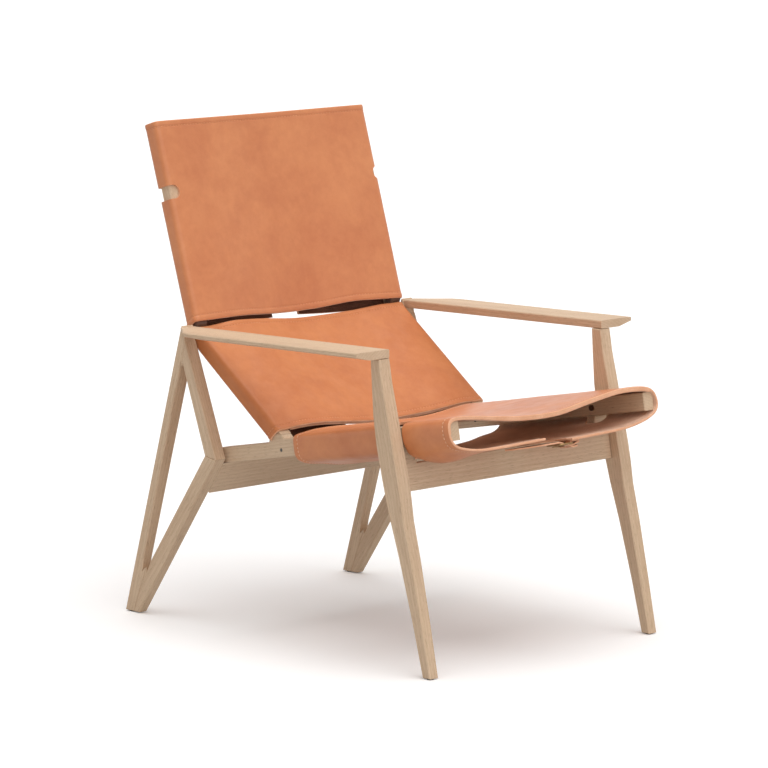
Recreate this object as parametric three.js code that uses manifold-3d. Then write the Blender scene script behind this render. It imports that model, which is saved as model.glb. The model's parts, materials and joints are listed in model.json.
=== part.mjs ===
// Lounge chair with three leather slings on a wooden frame.
// Millimetres, +Z up. The sitter faces -Y, and right is the sitter's right, at -X.
// Each side frame is a board frame in its own plane: a kite-shaped front leg, an armrest, and a
// rear A-frame of a leg and two struts. Two cross rails join the side frames and carry the seat
// rails, whose rounded lobes take the bent back uprights. Leather sleeves wrap the rails and the
// uprights, and belts with buckles draw their flaps together behind.
import * as THREE from "three";
import { mergeVertices } from "three/addons/utils/BufferGeometryUtils.js";
import Module from "manifold-3d";

const library = await Module();
library.setup();

// Clearances and edges
const clearance = 0.3;
const cutOverrun = 6;
const woodEdge = 1.6;
const mergeTolerance = 0.0001;
const middleShare = 0.5;

// Side frames: middle plane, board thickness at the foot, the knee and the top
const sideMiddleX = 277.5;
const legFootThickness = 20.5;
const legKneeThickness = 29;
const legTopThickness = 26;
const aFrameFootThickness = 18;
const aFrameKneeThickness = 24;
const aFrameTopThickness = 27;
const kneeZ = 345;
const lowerKneeZ = 160;
const glideHeight = 2;
const glideRadius = 6.5;

// Front leg, from its foot to the armrest
const legTopZ = 551.8;
const legFootFrontY = -398;
const legTopFrontY = -271.2;
const legFootDepth = 19.2;
// Up the leg: share of height, share of the lean, depth as a share of the foot's depth
const legShares = [
  { up: 0, lean: 0, depth: 1 },
  { up: 0.181, lean: 0.173, depth: 1.25 },
  { up: 0.37, lean: 0.365, depth: 1.6 },
  { up: 0.49, lean: 0.505, depth: 1.84 },
  { up: 0.565, lean: 0.56, depth: 2.1 },
  { up: 0.625, lean: 0.617, depth: 2.17 },
  { up: 0.725, lean: 0.727, depth: 2.17 },
  { up: 0.815, lean: 0.82, depth: 1.98 },
  { up: 0.924, lean: 0.942, depth: 1.42 },
  { up: 1, lean: 1, depth: 1.18 },
];

// Rear A-frame, its corners in the plane of the side frame, those at its top from the back's bolt
const apexRearFromBolt = { y: -1.5, z: 15.5 };
const apexFrontFromBolt = { y: -5.8, z: 15.5 };
const armSeatFromBolt = { y: -12.2, z: -11.5 };
const slotTopRearFromBolt = { y: 4.8, z: -68.5 };
const slotTopFromBolt = { y: -1.9, z: -60.5 };
const slotTopFrontFromBolt = { y: -9.2, z: -67 };
const elbowFront = { y: 165, z: 319 };
const elbowRear = { y: 195.8, z: 323.5 };
const footRear = { y: 429.3, z: glideHeight };
const footSplit = { y: 405, z: glideHeight };
const footFront = { y: 389.4, z: glideHeight };
const slotBottomRear = { y: 374.5, z: 107 };
const slotBottom = { y: 366, z: 94 };
const slotBottomFront = { y: 352, z: 107.5 };
const slotRoundShare = 0.32;

// Armrest
const armFrontY = -272;
const armInnerX = 266.5;
const armTopZ = 567.7;
const armThickness = 15;
const armRearSink = 1.7;
const armFrontWidth = 79;
const armRearWidth = 29.5;
const armEdge = 7;
const armBevel = 32;
// Along the arm from the front: share of length, share of the width lost, bevel as a share
const armShares = [
  { along: 0, taper: 0, bevel: 1 },
  { along: 0.86, taper: 0, bevel: 1 },
  { along: 0.89, taper: 0.09, bevel: 0.94 },
  { along: 0.955, taper: 0.67, bevel: 0.55 },
  { along: 1, taper: 1, bevel: 0.3 },
];

// Seat rails, back uprights and the leather round them
const railOuterX = 257.3;
const railWidth = 25.2;
const railDepth = 33.4;
const railRearDrop = 4.4;
const uprightDepth = 24;
const leatherThickness = 4.5;
const leatherBend = 6;
const seatAngle = THREE.MathUtils.degToRad(180 - 10.65);
const lumbarAngle = THREE.MathUtils.degToRad(36.1);
const backAngle = THREE.MathUtils.degToRad(72.77);
const seatStart = { y: -13.2, z: 379.2 };
const lumbarStart = { y: 29.2, z: 385.3 };
const seatLength = 410;
const lumbarLength = 278.5;
const backLength = 380;
const railFrontReach = 404;
const railRearReach = 207;
const uprightTopSetback = 4;
const uprightShoulder = 3;
const backPastLumbar = 4.83;
const backOverLumbar = 10.23;
const lobeCentre = { y: 33, z: 358.4 };
const lobeRadius = 24;
const lobeScrewFromCentre = { y: -11, z: -6.4 };

// How each sheet lies at the two ends of its run: how high it stands above the wood, how far
// it hangs from there, how far the flaps hang, and how far they stand off the wood
const seatFit = {
  start: { crown: 6.8, hang: 7.3, flapHang: 25.5, slack: 0 },
  end: { crown: 4.8, hang: 18.6, flapHang: 25.5, slack: 0 },
};
const lumbarFit = {
  start: { crown: 0, hang: 14, flapHang: 33, slack: 0 },
  end: { crown: 0, hang: 9, flapHang: 7, slack: 0 },
};
const backFit = {
  start: { crown: 0, hang: 19, flapHang: 20.5, slack: 0 },
  end: { crown: 0, hang: 4, flapHang: 4, slack: 3.5 },
};
const flapPower = 4;
const flapGap = 65;

// Notches in the leather
const backNotchAt = 246;
const backNotchDepth = 24;
const backNotchHeight = 26;
const seatNotchAt = 270;
const seatNotchDepth = 36;
const seatNotchHeight = 42;
const seatNotchRound = 9;

// Cross rails and the spreader between the uprights
const frontRailAt = 265.4;
const frontRailThickness = 22;
const frontRailHeight = 81;
const frontRailDip = 32;
const shoulderRun = 9;
const rearRailHeight = 75;
const rearRailThickness = 22;
const spreaderFromTop = 28;
const spreaderHeight = 30;
const spreaderThickness = 12;

// Screws and spacers
const seatBoltAt = { y: -283, z: 411.4 };
const seatBoltRadius = 3;
const seatSpacerRadius = 7;
const backBoltUnderBack = 15.75;
const backBoltDepth = 13.36;
const backBoltRadius = 2;
const backSpacerRadius = 3.6;
const boltHeadRadius = 5.5;
const boltHeadHeight = 3;
const boltGrip = 12;
const lobeScrewRadius = 3.2;

// Belts and buckles
const beltWidth = 30;
const beltThickness = 3;
const beltStartX = -104;
const beltEndX = 96;
const chapeEndX = 84;
const wireRadius = 1.8;
const buckleHeelX = 38;
const buckleFrontX = 6;
const buckleWidth = 39;
const buckleCorner = 5;
const prongWidth = 3.4;
const prongThickness = 2.6;
const prongEye = 1.7;
const prongSlack = 0.1;
const prongOverhang = 3;
// How far the strap has climbed through the buckle, at the window and before the heel
const strapClimbShares = { window: 0.2, heel: 0.86 };
const slotLength = 26;
const slotWidth = 5.4;
const seatBeltFromRear = 118;
const seatBeltShare = 0.8353;
const lumbarBeltFromTop = 143.5;
const backBeltFromFoot = 86;
const backBeltFromTop = 94;

// Counts
const roundSteps = 16;
const wireSteps = 10;
const bendSteps = 3;
const sheetSteps = 12;
const flapSteps = 4;
const lengthSteps = 5;
const slotSteps = 2;

// Colours of wood and leather from the photograph, the rest assumed
const finishes = {
  wood: { color: "#cbb08d", roughness: 0.6, metalness: 0 },
  leather: { color: "#cf7f50", roughness: 0.45, metalness: 0 },
  belt: { color: "#b8703f", roughness: 0.5, metalness: 0 },
  brass: { color: "#c7a25c", roughness: 0.35, metalness: 0.9 },
  steel: { color: "#6d6a66", roughness: 0.4, metalness: 0.9 },
  glide: { color: "#3a3633", roughness: 0.7, metalness: 0 },
};

const lerp = THREE.MathUtils.lerp;
const sides = [
  { name: "right", sign: -1 },
  { name: "left", sign: 1 },
];

const chair = new THREE.Group();

function solidOf(geometry) {
  const bare = new THREE.BufferGeometry();
  bare.setAttribute("position", geometry.getAttribute("position").clone());
  if (geometry.index) bare.setIndex(geometry.index.clone());
  const merged = mergeVertices(bare, mergeTolerance);
  const solid = new library.Manifold(new library.Mesh({
    numProp: 3,
    vertProperties: merged.getAttribute("position").array,
    triVerts: new Uint32Array(merged.index.array),
  }));
  return solid;
}

function geometryOf(solid) {
  const mesh = solid.getMesh();
  const geometry = new THREE.BufferGeometry();
  geometry.setAttribute("position", new THREE.BufferAttribute(mesh.vertProperties, mesh.numProp));
  geometry.setIndex(new THREE.BufferAttribute(mesh.triVerts, 1));
  return geometry;
}

function signedVolume(corners, faces) {
  const cross = new THREE.Vector3();
  let six = 0;
  for (const [a, b, c] of faces) six += corners[a].dot(cross.crossVectors(corners[b], corners[c]));
  return six;
}

// A closed body from corners and triangles, with its faces turned outwards
function bodyOf(corners, faces) {
  const facesOut = signedVolume(corners, faces) > 0;
  const order = facesOut ? faces : faces.map(([a, b, c]) => [a, c, b]);
  const geometry = new THREE.BufferGeometry();
  geometry.setAttribute("position", new THREE.Float32BufferAttribute(
    corners.flatMap((corner) => corner.toArray()), 3));
  geometry.setIndex(order.flat());
  return geometry;
}

// The corners of an unindexed geometry put elsewhere by a rule, which may mirror them
function mapped(geometry, rule) {
  const place = geometry.getAttribute("position");
  const corners = [];
  const faces = [];
  for (let i = 0; i < place.count; i += 1) {
    corners.push(rule(place.getX(i), place.getY(i), place.getZ(i)));
    if (i % 3 === 2) faces.push([i - 2, i - 1, i]);
  }
  return bodyOf(corners, faces);
}

function addPiece(name, geometry, finish) {
  geometry.computeVertexNormals();
  const mesh = new THREE.Mesh(geometry, new THREE.MeshStandardMaterial(finishes[finish]));
  mesh.name = name;
  chair.add(mesh);
}

function cut(geometry, cutters) {
  let solid = solidOf(geometry);
  for (const cutter of cutters) solid = solid.subtract(solidOf(cutter));
  return geometryOf(solid);
}

// A row of equal rings joined into a body, its two ends closed by flat fans
function loft(rings) {
  const corners = rings.flat();
  const count = rings[0].length;
  const faces = [];
  for (let row = 0; row + 1 < rings.length; row += 1) {
    for (let i = 0; i < count; i += 1) {
      const next = (i + 1) % count;
      const low = row * count;
      const high = low + count;
      faces.push([low + i, low + next, high + next], [low + i, high + next, high + i]);
    }
  }
  const last = (rings.length - 1) * count;
  for (let i = 1; i + 1 < count; i += 1) {
    faces.push([0, i + 1, i], [last, last + i, last + i + 1]);
  }
  return bodyOf(corners, faces);
}

// A row of rings joined end to end, such as a wire bent into a closed frame
function loop(rings) {
  const corners = rings.flat();
  const count = rings[0].length;
  const faces = [];
  for (let row = 0; row < rings.length; row += 1) {
    for (let i = 0; i < count; i += 1) {
      const next = (i + 1) % count;
      const low = row * count;
      const high = ((row + 1) % rings.length) * count;
      faces.push([low + i, low + next, high + next], [low + i, high + next, high + i]);
    }
  }
  return bodyOf(corners, faces);
}

// A sheet of leather: each row runs across it, as pairs of an outer and an inner corner.
// Its ends aren't convex, so they are closed pair by pair
function bentSheet(rows) {
  const across = rows[0].length;
  const corners = rows.flatMap((row) => row.flatMap((pair) => [pair.outer, pair.inner]));
  const at = (row, i, inner) => 2 * (row * across + i) + inner;
  const faces = [];
  const quad = (a, b, c, d) => faces.push([a, b, c], [a, c, d]);
  for (let row = 0; row + 1 < rows.length; row += 1) {
    for (let i = 0; i + 1 < across; i += 1) {
      quad(at(row, i, 0), at(row, i + 1, 0), at(row + 1, i + 1, 0), at(row + 1, i, 0));
      quad(at(row, i, 1), at(row + 1, i, 1), at(row + 1, i + 1, 1), at(row, i + 1, 1));
    }
    const end = across - 1;
    quad(at(row, 0, 0), at(row + 1, 0, 0), at(row + 1, 0, 1), at(row, 0, 1));
    quad(at(row, end, 0), at(row, end, 1), at(row + 1, end, 1), at(row + 1, end, 0));
  }
  const last = rows.length - 1;
  for (let i = 0; i + 1 < across; i += 1) {
    quad(at(0, i, 0), at(0, i, 1), at(0, i + 1, 1), at(0, i + 1, 0));
    quad(at(last, i, 0), at(last, i + 1, 0), at(last, i + 1, 1), at(last, i, 1));
  }
  return bodyOf(corners, faces);
}

// A flat board with eased edges: an outline of {y, z} points, and its thickness along X
function board(outline, thickness) {
  const shape = new THREE.Shape(outline.map((corner) => new THREE.Vector2(corner.y, corner.z)));
  const geometry = new THREE.ExtrudeGeometry(shape, {
    depth: thickness - 2 * woodEdge,
    bevelThickness: woodEdge,
    bevelSize: woodEdge,
    bevelOffset: -woodEdge - clearance / 3,
    bevelSegments: 1,
  });
  const middle = thickness / 2 - woodEdge;
  return mapped(geometry, (y, z, across) => new THREE.Vector3(across - middle, y, z));
}

// A board of the side frame, thinned towards its foot, on one side of the chair
function sideBoard(outline, thicknessAt, sign) {
  const unit = legKneeThickness;
  const geometry = board(outline, unit);
  const place = geometry.getAttribute("position");
  for (let i = 0; i < place.count; i += 1) {
    const across = place.getX(i) * thicknessAt(place.getZ(i)) / unit;
    place.setX(i, sign * sideMiddleX + across);
  }
  return geometry;
}

function moved(geometry, x, y, z) {
  return geometry.translate(x, y, z);
}

// A round bar along X between two places
function barAlongX(radius, fromX, toX, centre, steps = roundSteps) {
  const length = Math.abs(toX - fromX);
  const geometry = new THREE.CylinderGeometry(radius, radius, length, steps);
  geometry.rotateZ(Math.PI / 2);
  return moved(geometry, (fromX + toX) / 2, centre.y, centre.z);
}

function legThicknessAt(z) {
  if (z < kneeZ) return lerp(legFootThickness, legKneeThickness, z / kneeZ);
  return lerp(legKneeThickness, legTopThickness, (z - kneeZ) / (legTopZ - kneeZ));
}

function aFrameThicknessAt(z) {
  if (z < lowerKneeZ) return lerp(aFrameFootThickness, aFrameKneeThickness, z / lowerKneeZ);
  const share = (z - lowerKneeZ) / (apexRear.z - lowerKneeZ);
  return lerp(aFrameKneeThickness, aFrameTopThickness, share);
}

function pointBetween(from, to, share) {
  return { y: lerp(from.y, to.y, share), z: lerp(from.z, to.z, share) };
}

function pointFrom(point, offset) {
  return { y: point.y + offset.y, z: point.z + offset.z };
}

// The rounded end of the slot, from one straight side over its tip to the other
function slotCurve(from, tip, aim) {
  const corner = pointBetween(from, tip, 1 - slotRoundShare);
  const pull = pointBetween(corner, aim, slotRoundShare / 2);
  return [from, pull, tip];
}

function frontLegOutline() {
  const height = legTopZ - glideHeight;
  const reach = legTopFrontY - legFootFrontY;
  const front = legShares.map((share) => ({
    y: legFootFrontY + share.lean * reach,
    z: glideHeight + share.up * height,
  }));
  const rear = legShares.map((share, i) => ({
    y: front[i].y + share.depth * legFootDepth,
    z: front[i].z,
  }));
  return [...front, ...rear.reverse()];
}

function rearLegOutline() {
  return [
    footSplit, footRear, apexRear, apexFront, armSeat,
    ...slotCurve(slotTopRear, slotTop, apexRear).reverse(),
    ...slotCurve(slotBottomRear, slotBottom, footRear),
  ];
}

function upperStrutOutline() {
  return [armSeat, elbowFront, elbowRear, ...slotCurve(slotTopFront, slotTop, armSeat)];
}

function lowerStrutOutline() {
  return [
    elbowRear, elbowFront, footFront, footSplit,
    ...slotCurve(slotBottomFront, slotBottom, footFront).reverse(),
  ];
}

function armTopAt(y) {
  return armTopZ - armDrop * (y - armFrontY) / (apexFront.y - armFrontY);
}

// The arm's section at one station, from the inner top corner round by the thin outer edge
function armRing(sign, y, width, bevel, lean) {
  const top = armTopAt(y);
  const under = top - armThickness;
  const outer = armInnerX + width;
  const section = [
    [armInnerX + woodEdge, top], [outer - woodEdge, top], [outer, top - woodEdge],
    [outer, top - armEdge], [outer - bevel, under], [armInnerX + woodEdge, under],
    [armInnerX, under + woodEdge], [armInnerX, top - woodEdge],
  ];
  return section.map(([x, z]) => new THREE.Vector3(sign * x, y - lean * (top - z), z));
}

function armrest(sign) {
  const lean = (apexFront.y - armSeat.y) / (apexFront.z - armSeat.z);
  const rearY = apexFront.y - clearance;
  const rings = armShares.map((share) => armRing(
    sign,
    lerp(armFrontY, rearY, share.along),
    lerp(armFrontWidth, armRearWidth, share.taper),
    armBevel * share.bevel,
    share.along * lean,
  ));
  return loft(rings);
}

// A straight run of leather and wood: along it, and down from the wood's show face
class Run {
  constructor(start, angle, facing, depth, length, fit) {
    this.start = start;
    this.along = { y: Math.cos(angle), z: Math.sin(angle) };
    this.down = { y: facing * Math.sin(angle), z: -facing * Math.cos(angle) };
    this.depth = depth;
    this.length = length;
    this.fit = fit;
  }

  at(along, down) {
    return {
      y: this.start.y + along * this.along.y + down * this.down.y,
      z: this.start.z + along * this.along.z + down * this.down.z,
    };
  }

  place(x, along, down) {
    const point = this.at(along, down);
    return new THREE.Vector3(x, point.y, point.z);
  }

  fitAt(name, along) {
    return lerp(this.fit.start[name], this.fit.end[name], along / this.length);
  }

  // The outer face of the show side: it stands highest over the wood and lowest in the middle
  showFace(x, along) {
    const wave = Math.cos((Math.PI / 2) * Math.min(1, Math.abs(x) / railInnerX));
    return showDown - this.fitAt("crown", along) + this.fitAt("hang", along) * wave * wave;
  }

  // The outer face of the flaps where they leave the bends
  flapDown(along) {
    return this.depth + clearance + this.fitAt("slack", along) + leatherThickness;
  }

  // The outer face of the flaps, an even curve from bend to bend
  flapFace(x, along) {
    const share = Math.min(1, Math.abs(x) / bendX);
    return this.flapDown(along) + this.fitAt("flapHang", along) * (1 - share ** flapPower);
  }

  // The lowest that the flaps lie under the width of a belt
  beltFace(x, at) {
    const half = beltWidth / 2;
    return Math.max(this.flapFace(x, at - half), this.flapFace(x, at + half));
  }
}

const railInnerX = railOuterX - railWidth;
const leatherOuterX = railOuterX + clearance + leatherThickness;
const bendX = leatherOuterX - leatherBend;
const showDown = -clearance - leatherThickness;

const seat = new Run(seatStart, seatAngle, -1, railDepth, seatLength, seatFit);
const lumbar = new Run(lumbarStart, lumbarAngle, 1, uprightDepth, lumbarLength, lumbarFit);
const backStart = lumbar.at(lumbarLength + backPastLumbar, -backOverLumbar);
const back = new Run(backStart, backAngle, 1, uprightDepth, backLength, backFit);

// The back's bolt lies just under the back sheet, and the A-frame's top is set out from it
const backBoltAt = back.at(-backBoltUnderBack, backBoltDepth);
const lobeScrewAt = pointFrom(lobeCentre, lobeScrewFromCentre);
const apexRear = pointFrom(backBoltAt, apexRearFromBolt);
const apexFront = pointFrom(backBoltAt, apexFrontFromBolt);
const armSeat = pointFrom(backBoltAt, armSeatFromBolt);
const slotTopRear = pointFrom(backBoltAt, slotTopRearFromBolt);
const slotTop = pointFrom(backBoltAt, slotTopFromBolt);
const slotTopFront = pointFrom(backBoltAt, slotTopFrontFromBolt);
const armDrop = armTopZ + armRearSink - apexFront.z;
const spreaderAt = backLength - spreaderFromTop;

// The belts' places along their runs; the front one lies between the cross rail and the edge
const frontRailFace = frontRailAt + frontRailThickness / 2;
const seatBeltPlaces = [seatBeltFromRear, lerp(frontRailFace, seatLength, seatBeltShare)];
const lumbarBeltPlaces = [lumbarLength - lumbarBeltFromTop];
const backBeltPlaces = [backBeltFromFoot, backLength - backBeltFromTop];

// One row of corners round the sleeve, from the middle of one flap over the show side to the other
function sleeveRow(run, along) {
  const pairs = [];
  const inner = leatherBend - leatherThickness;
  const add = (outerX, outerDown, innerX, innerDown) => pairs.push({
    outer: run.place(outerX, along, outerDown),
    inner: run.place(innerX, along, innerDown),
  });
  const flap = (sign, share) => {
    const x = sign * lerp(flapGap / 2, bendX, share);
    add(x, run.flapFace(x, along), x, run.flapFace(x, along) - leatherThickness);
  };
  const corner = (sign, down, from, to) => {
    for (let step = 0; step <= bendSteps; step += 1) {
      const angle = lerp(from, to, step / bendSteps);
      const outX = Math.cos(angle);
      const outDown = Math.sin(angle);
      add(sign * (bendX + leatherBend * outX), down + leatherBend * outDown,
        sign * (bendX + inner * outX), down + inner * outDown);
    }
  };
  const quarter = Math.PI / 2;
  const lowDown = run.flapDown(along) - leatherBend;
  const highDown = showDown + leatherBend;
  for (let step = 0; step < flapSteps; step += 1) flap(-1, step / flapSteps);
  corner(-1, lowDown, quarter, 0);
  corner(-1, highDown, 0, -quarter);
  for (let step = 0; step <= sheetSteps; step += 1) {
    const x = lerp(-railInnerX, railInnerX, step / sheetSteps);
    const down = run.showFace(x, along);
    add(x, down, x, down + leatherThickness);
  }
  corner(1, highDown, -quarter, 0);
  corner(1, lowDown, 0, quarter);
  for (let step = flapSteps - 1; step >= 0; step -= 1) flap(1, step / flapSteps);
  return pairs;
}

function sleeve(run) {
  const rows = [];
  for (let step = 0; step <= lengthSteps; step += 1) {
    rows.push(sleeveRow(run, run.length * step / lengthSteps));
  }
  return bentSheet(rows);
}

// A notch with rounded corners, cut into the side of a sleeve and right through it
function notchCutter(run, sign, at, depth, height, round) {
  const inX = leatherOuterX - depth;
  const outX = leatherOuterX + cutOverrun;
  const half = height / 2;
  const shape = new THREE.Shape();
  shape.moveTo(outX, -half);
  shape.lineTo(inX + round, -half);
  shape.absarc(inX + round, round - half, round, -Math.PI / 2, -Math.PI, true);
  shape.absarc(inX + round, half - round, round, Math.PI, Math.PI / 2, true);
  shape.lineTo(outX, half);
  const reach = run.flapFace(0, at) + 2 * cutOverrun - showDown;
  const geometry = new THREE.ExtrudeGeometry(shape, {
    depth: reach, bevelEnabled: false, curveSegments: roundSteps / 4,
  });
  return mapped(geometry, (x, across, deep) => run.place(
    sign * x, at + across, showDown - cutOverrun + deep));
}

// The rail's side outline with its lobe; grow widens it where it serves as a cutter
function railOutline(grow) {
  const radius = lobeRadius + grow;
  const outline = [
    seat.at(-railRearReach - grow, railDepth + grow),
    seat.at(railFrontReach + grow, railDepth + grow),
    seat.at(railFrontReach + grow, -grow),
  ];
  const centre = toRun(seat, lobeCentre);
  const first = Math.acos((centre.down + grow) / radius);
  const last = -Math.acos((centre.down - railRearDrop + grow) / radius);
  for (let step = 0; step <= roundSteps / 2; step += 1) {
    const angle = lerp(first, last, step / (roundSteps / 2));
    outline.push(seat.at(
      centre.along + radius * Math.sin(angle),
      centre.down - radius * Math.cos(angle),
    ));
  }
  outline.push(seat.at(-railRearReach - grow, railRearDrop - grow));
  return outline;
}

function toRun(run, point) {
  const y = point.y - run.start.y;
  const z = point.z - run.start.z;
  return {
    along: y * run.along.y + z * run.along.z,
    down: y * run.down.y + z * run.down.z,
  };
}

function crossing(runA, downA, runB, downB) {
  const a = runA.at(0, downA);
  const b = runB.at(0, downB);
  const turn = runA.along.y * runB.along.z - runA.along.z * runB.along.y;
  const along = ((b.y - a.y) * runB.along.z - (b.z - a.z) * runB.along.y) / turn;
  return runA.at(along, downA);
}

// Where a line of the lumbar run leaves the lobe's round
function lobeCrossing(down, radius) {
  const centre = toRun(lumbar, lobeCentre);
  const offset = down - centre.down;
  return centre.along + Math.sqrt(radius * radius - offset * offset);
}

// The top of the lumbar sleeve lies in a shoulder cut in the upright's front, where it bends
function uprightOutline() {
  const radius = lobeRadius + clearance;
  const centre = toRun(lumbar, lobeCentre);
  const first = Math.atan2(-centre.down, lobeCrossing(0, radius) - centre.along);
  const last = Math.atan2(uprightDepth - centre.down,
    lobeCrossing(uprightDepth, radius) - centre.along);
  const end = [];
  for (let step = 0; step <= roundSteps / 4; step += 1) {
    const angle = lerp(last, first, step / (roundSteps / 4));
    end.push(lumbar.at(
      centre.along + radius * Math.cos(angle),
      centre.down + radius * Math.sin(angle),
    ));
  }
  const top = backLength - uprightTopSetback;
  return [
    ...end,
    lumbar.at(lumbarLength + clearance, 0),
    back.at(-uprightShoulder, 0),
    back.at(top, 0),
    back.at(top, uprightDepth),
    crossing(lumbar, uprightDepth, back, uprightDepth),
  ];
}

function railPiece(outline, sign) {
  return moved(board(outline, railWidth), sign * (railInnerX + railWidth / 2), 0, 0);
}

function seatRail(sign) {
  const throughX = sign * (railInnerX - cutOverrun);
  const outX = sign * (railOuterX + cutOverrun);
  const hole = barAlongX(seatBoltRadius + clearance, throughX, outX, seatBoltAt);
  const screw = barAlongX(lobeScrewRadius + clearance, throughX, outX, lobeScrewAt);
  return cut(railPiece(railOutline(0), sign), [hole, screw]);
}

function backUpright(sign) {
  const hole = barAlongX(backBoltRadius + clearance, sign * (railInnerX - cutOverrun),
    sign * (railOuterX + cutOverrun), backBoltAt);
  return cut(railPiece(uprightOutline(), sign), [hole]);
}

// The front cross rail: its top dips between shoulders, so the seat's flaps pass over it
function frontRail() {
  const half = sideMiddleX - legThicknessAt(seat.at(frontRailAt, railDepth).z) / 2 - clearance;
  const shoulder = railInnerX;
  const run = shoulder - shoulderRun;
  const outline = [
    [-half, frontRailHeight], [half, frontRailHeight], [half, 0], [shoulder, 0],
    [run, frontRailDip], [-run, frontRailDip], [-shoulder, 0], [-half, 0],
  ];
  const shape = new THREE.Shape(outline.map(([x, down]) => new THREE.Vector2(x, -down)));
  const geometry = new THREE.ExtrudeGeometry(shape, {
    depth: frontRailThickness - 2 * woodEdge,
    bevelThickness: woodEdge,
    bevelSize: woodEdge,
    bevelOffset: -woodEdge - clearance / 3,
    bevelSegments: 1,
  });
  const first = frontRailAt - frontRailThickness / 2 + woodEdge;
  return mapped(geometry, (x, up, through) => seat.place(x, first + through, railDepth - up));
}

// The rear cross rail lies in the plane of the lower struts and holds the seat rails' rear ends
function rearRail() {
  const length = Math.hypot(footFront.y - elbowFront.y, footFront.z - elbowFront.z);
  const slope = {
    y: (footFront.y - elbowFront.y) / length,
    z: (footFront.z - elbowFront.z) / length,
  };
  const strutTop = toRun(seat, elbowFront);
  const slopeDown = slope.y * seat.down.y + slope.z * seat.down.z;
  const first = (railDepth + clearance - strutTop.down) / slopeDown;
  const front = (share) => ({
    y: elbowFront.y + slope.y * share,
    z: elbowFront.z + slope.z * share,
  });
  const behind = (point) => ({
    y: point.y - slope.z * rearRailThickness,
    z: point.z + slope.y * rearRailThickness,
  });
  const top = front(first);
  const bottom = front(first + rearRailHeight);
  const rearBottom = behind(bottom);
  const rearTopDown = toRun(seat, behind(top)).down;
  const lift = (railDepth + clearance - rearTopDown) / slopeDown;
  const rearTop = behind(front(first + lift));
  const half = sideMiddleX - aFrameThicknessAt(top.z) / 2 - clearance;
  return board([top, bottom, rearBottom, rearTop], 2 * half);
}

function spreader() {
  const low = spreaderAt - spreaderHeight;
  const down = uprightDepth - spreaderThickness;
  const outline = [
    back.at(spreaderAt, down),
    back.at(spreaderAt, uprightDepth),
    back.at(low, uprightDepth),
    back.at(low, down),
  ];
  return board(outline, 2 * (railInnerX - clearance));
}

// A screw along X: its head on the inner face of the rail, its tip inside the side frame
function bolt(radius, sign, tipX, centre) {
  const headX = railInnerX - clearance / 3;
  const shank = barAlongX(radius, sign * headX, sign * tipX, centre);
  const head = barAlongX(boltHeadRadius, sign * (headX - boltHeadHeight), sign * headX, centre);
  return geometryOf(solidOf(shank).add(solidOf(head)));
}

// A ring between the rail and the side frame
function spacer(radius, holeRadius, sign, innerFaceX, centre) {
  const from = sign * (railOuterX + clearance / 3);
  const to = sign * (innerFaceX - clearance / 3);
  const hole = barAlongX(holeRadius, sign * (railOuterX - cutOverrun),
    sign * (innerFaceX + cutOverrun), centre);
  return cut(barAlongX(radius, from, to, centre), [hole]);
}

function legInnerX(z) {
  return sideMiddleX - legThicknessAt(z) / 2;
}

function aFrameInnerX(z) {
  return sideMiddleX - aFrameThicknessAt(z) / 2;
}

function frontLeg(sign) {
  const innerX = legInnerX(seatBoltAt.z);
  const hole = barAlongX(seatBoltRadius + clearance, sign * (innerX - cutOverrun),
    sign * (innerX + boltGrip + clearance), seatBoltAt);
  return cut(sideBoard(frontLegOutline(), legThicknessAt, sign), [hole]);
}

function rearLeg(sign) {
  const innerX = aFrameInnerX(backBoltAt.z);
  const hole = barAlongX(backBoltRadius + clearance, sign * (innerX - cutOverrun),
    sign * (innerX + boltGrip + clearance), backBoltAt);
  return cut(sideBoard(rearLegOutline(), aFrameThicknessAt, sign), [hole]);
}

function glide(sign, y) {
  const geometry = new THREE.CylinderGeometry(glideRadius, glideRadius, glideHeight, roundSteps);
  geometry.rotateX(Math.PI / 2);
  return moved(geometry, sign * sideMiddleX, y, glideHeight / 2);
}

// The seat's sleeve, notched for the front legs
function seatSling() {
  const cutters = sides.map((side) => notchCutter(
    seat, side.sign, seatNotchAt, seatNotchDepth, seatNotchHeight, seatNotchRound));
  return cut(sleeve(seat), cutters);
}

// The lumbar sleeve, cut back round the rails' lobes and hollowed out for the back's spacers
function lumbarSling() {
  const lobes = sides.map((side) => moved(
    board(railOutline(clearance), railWidth + clearance),
    side.sign * (railInnerX + railWidth / 2), 0, 0));
  const hollows = sides.map((side) => barAlongX(backSpacerRadius + clearance,
    side.sign * railOuterX, side.sign * (leatherOuterX + cutOverrun), backBoltAt));
  return cut(sleeve(lumbar), [...lobes, ...hollows]);
}

function backSling() {
  const cutters = sides.map((side) => notchCutter(
    back, side.sign, backNotchAt, backNotchDepth, backNotchHeight, backNotchHeight / 2));
  return cut(sleeve(back), cutters);
}

// A strip of leather along X on the flaps: its path gives the middle of its inner face
function strip(run, at, path, width) {
  const half = width / 2;
  return bentSheet([-half, half].map((across) => path.map((point) => ({
    outer: run.place(point.outX, at + across, point.outDown),
    inner: run.place(point.x, at + across, point.down),
  }))));
}

function thicken(points) {
  return points.map((point, i) => {
    const before = points[Math.max(0, i - 1)];
    const after = points[Math.min(points.length - 1, i + 1)];
    const length = Math.hypot(after.x - before.x, after.down - before.down);
    const nx = -(after.down - before.down) / length;
    const nd = (after.x - before.x) / length;
    return {
      ...point,
      outX: point.x + nx * beltThickness,
      outDown: point.down + nd * beltThickness,
    };
  });
}

function buckleDown(run, at) {
  const face = run.beltFace(flapGap / 2, at);
  return face + clearance + beltThickness + clearance + wireRadius;
}

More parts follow.
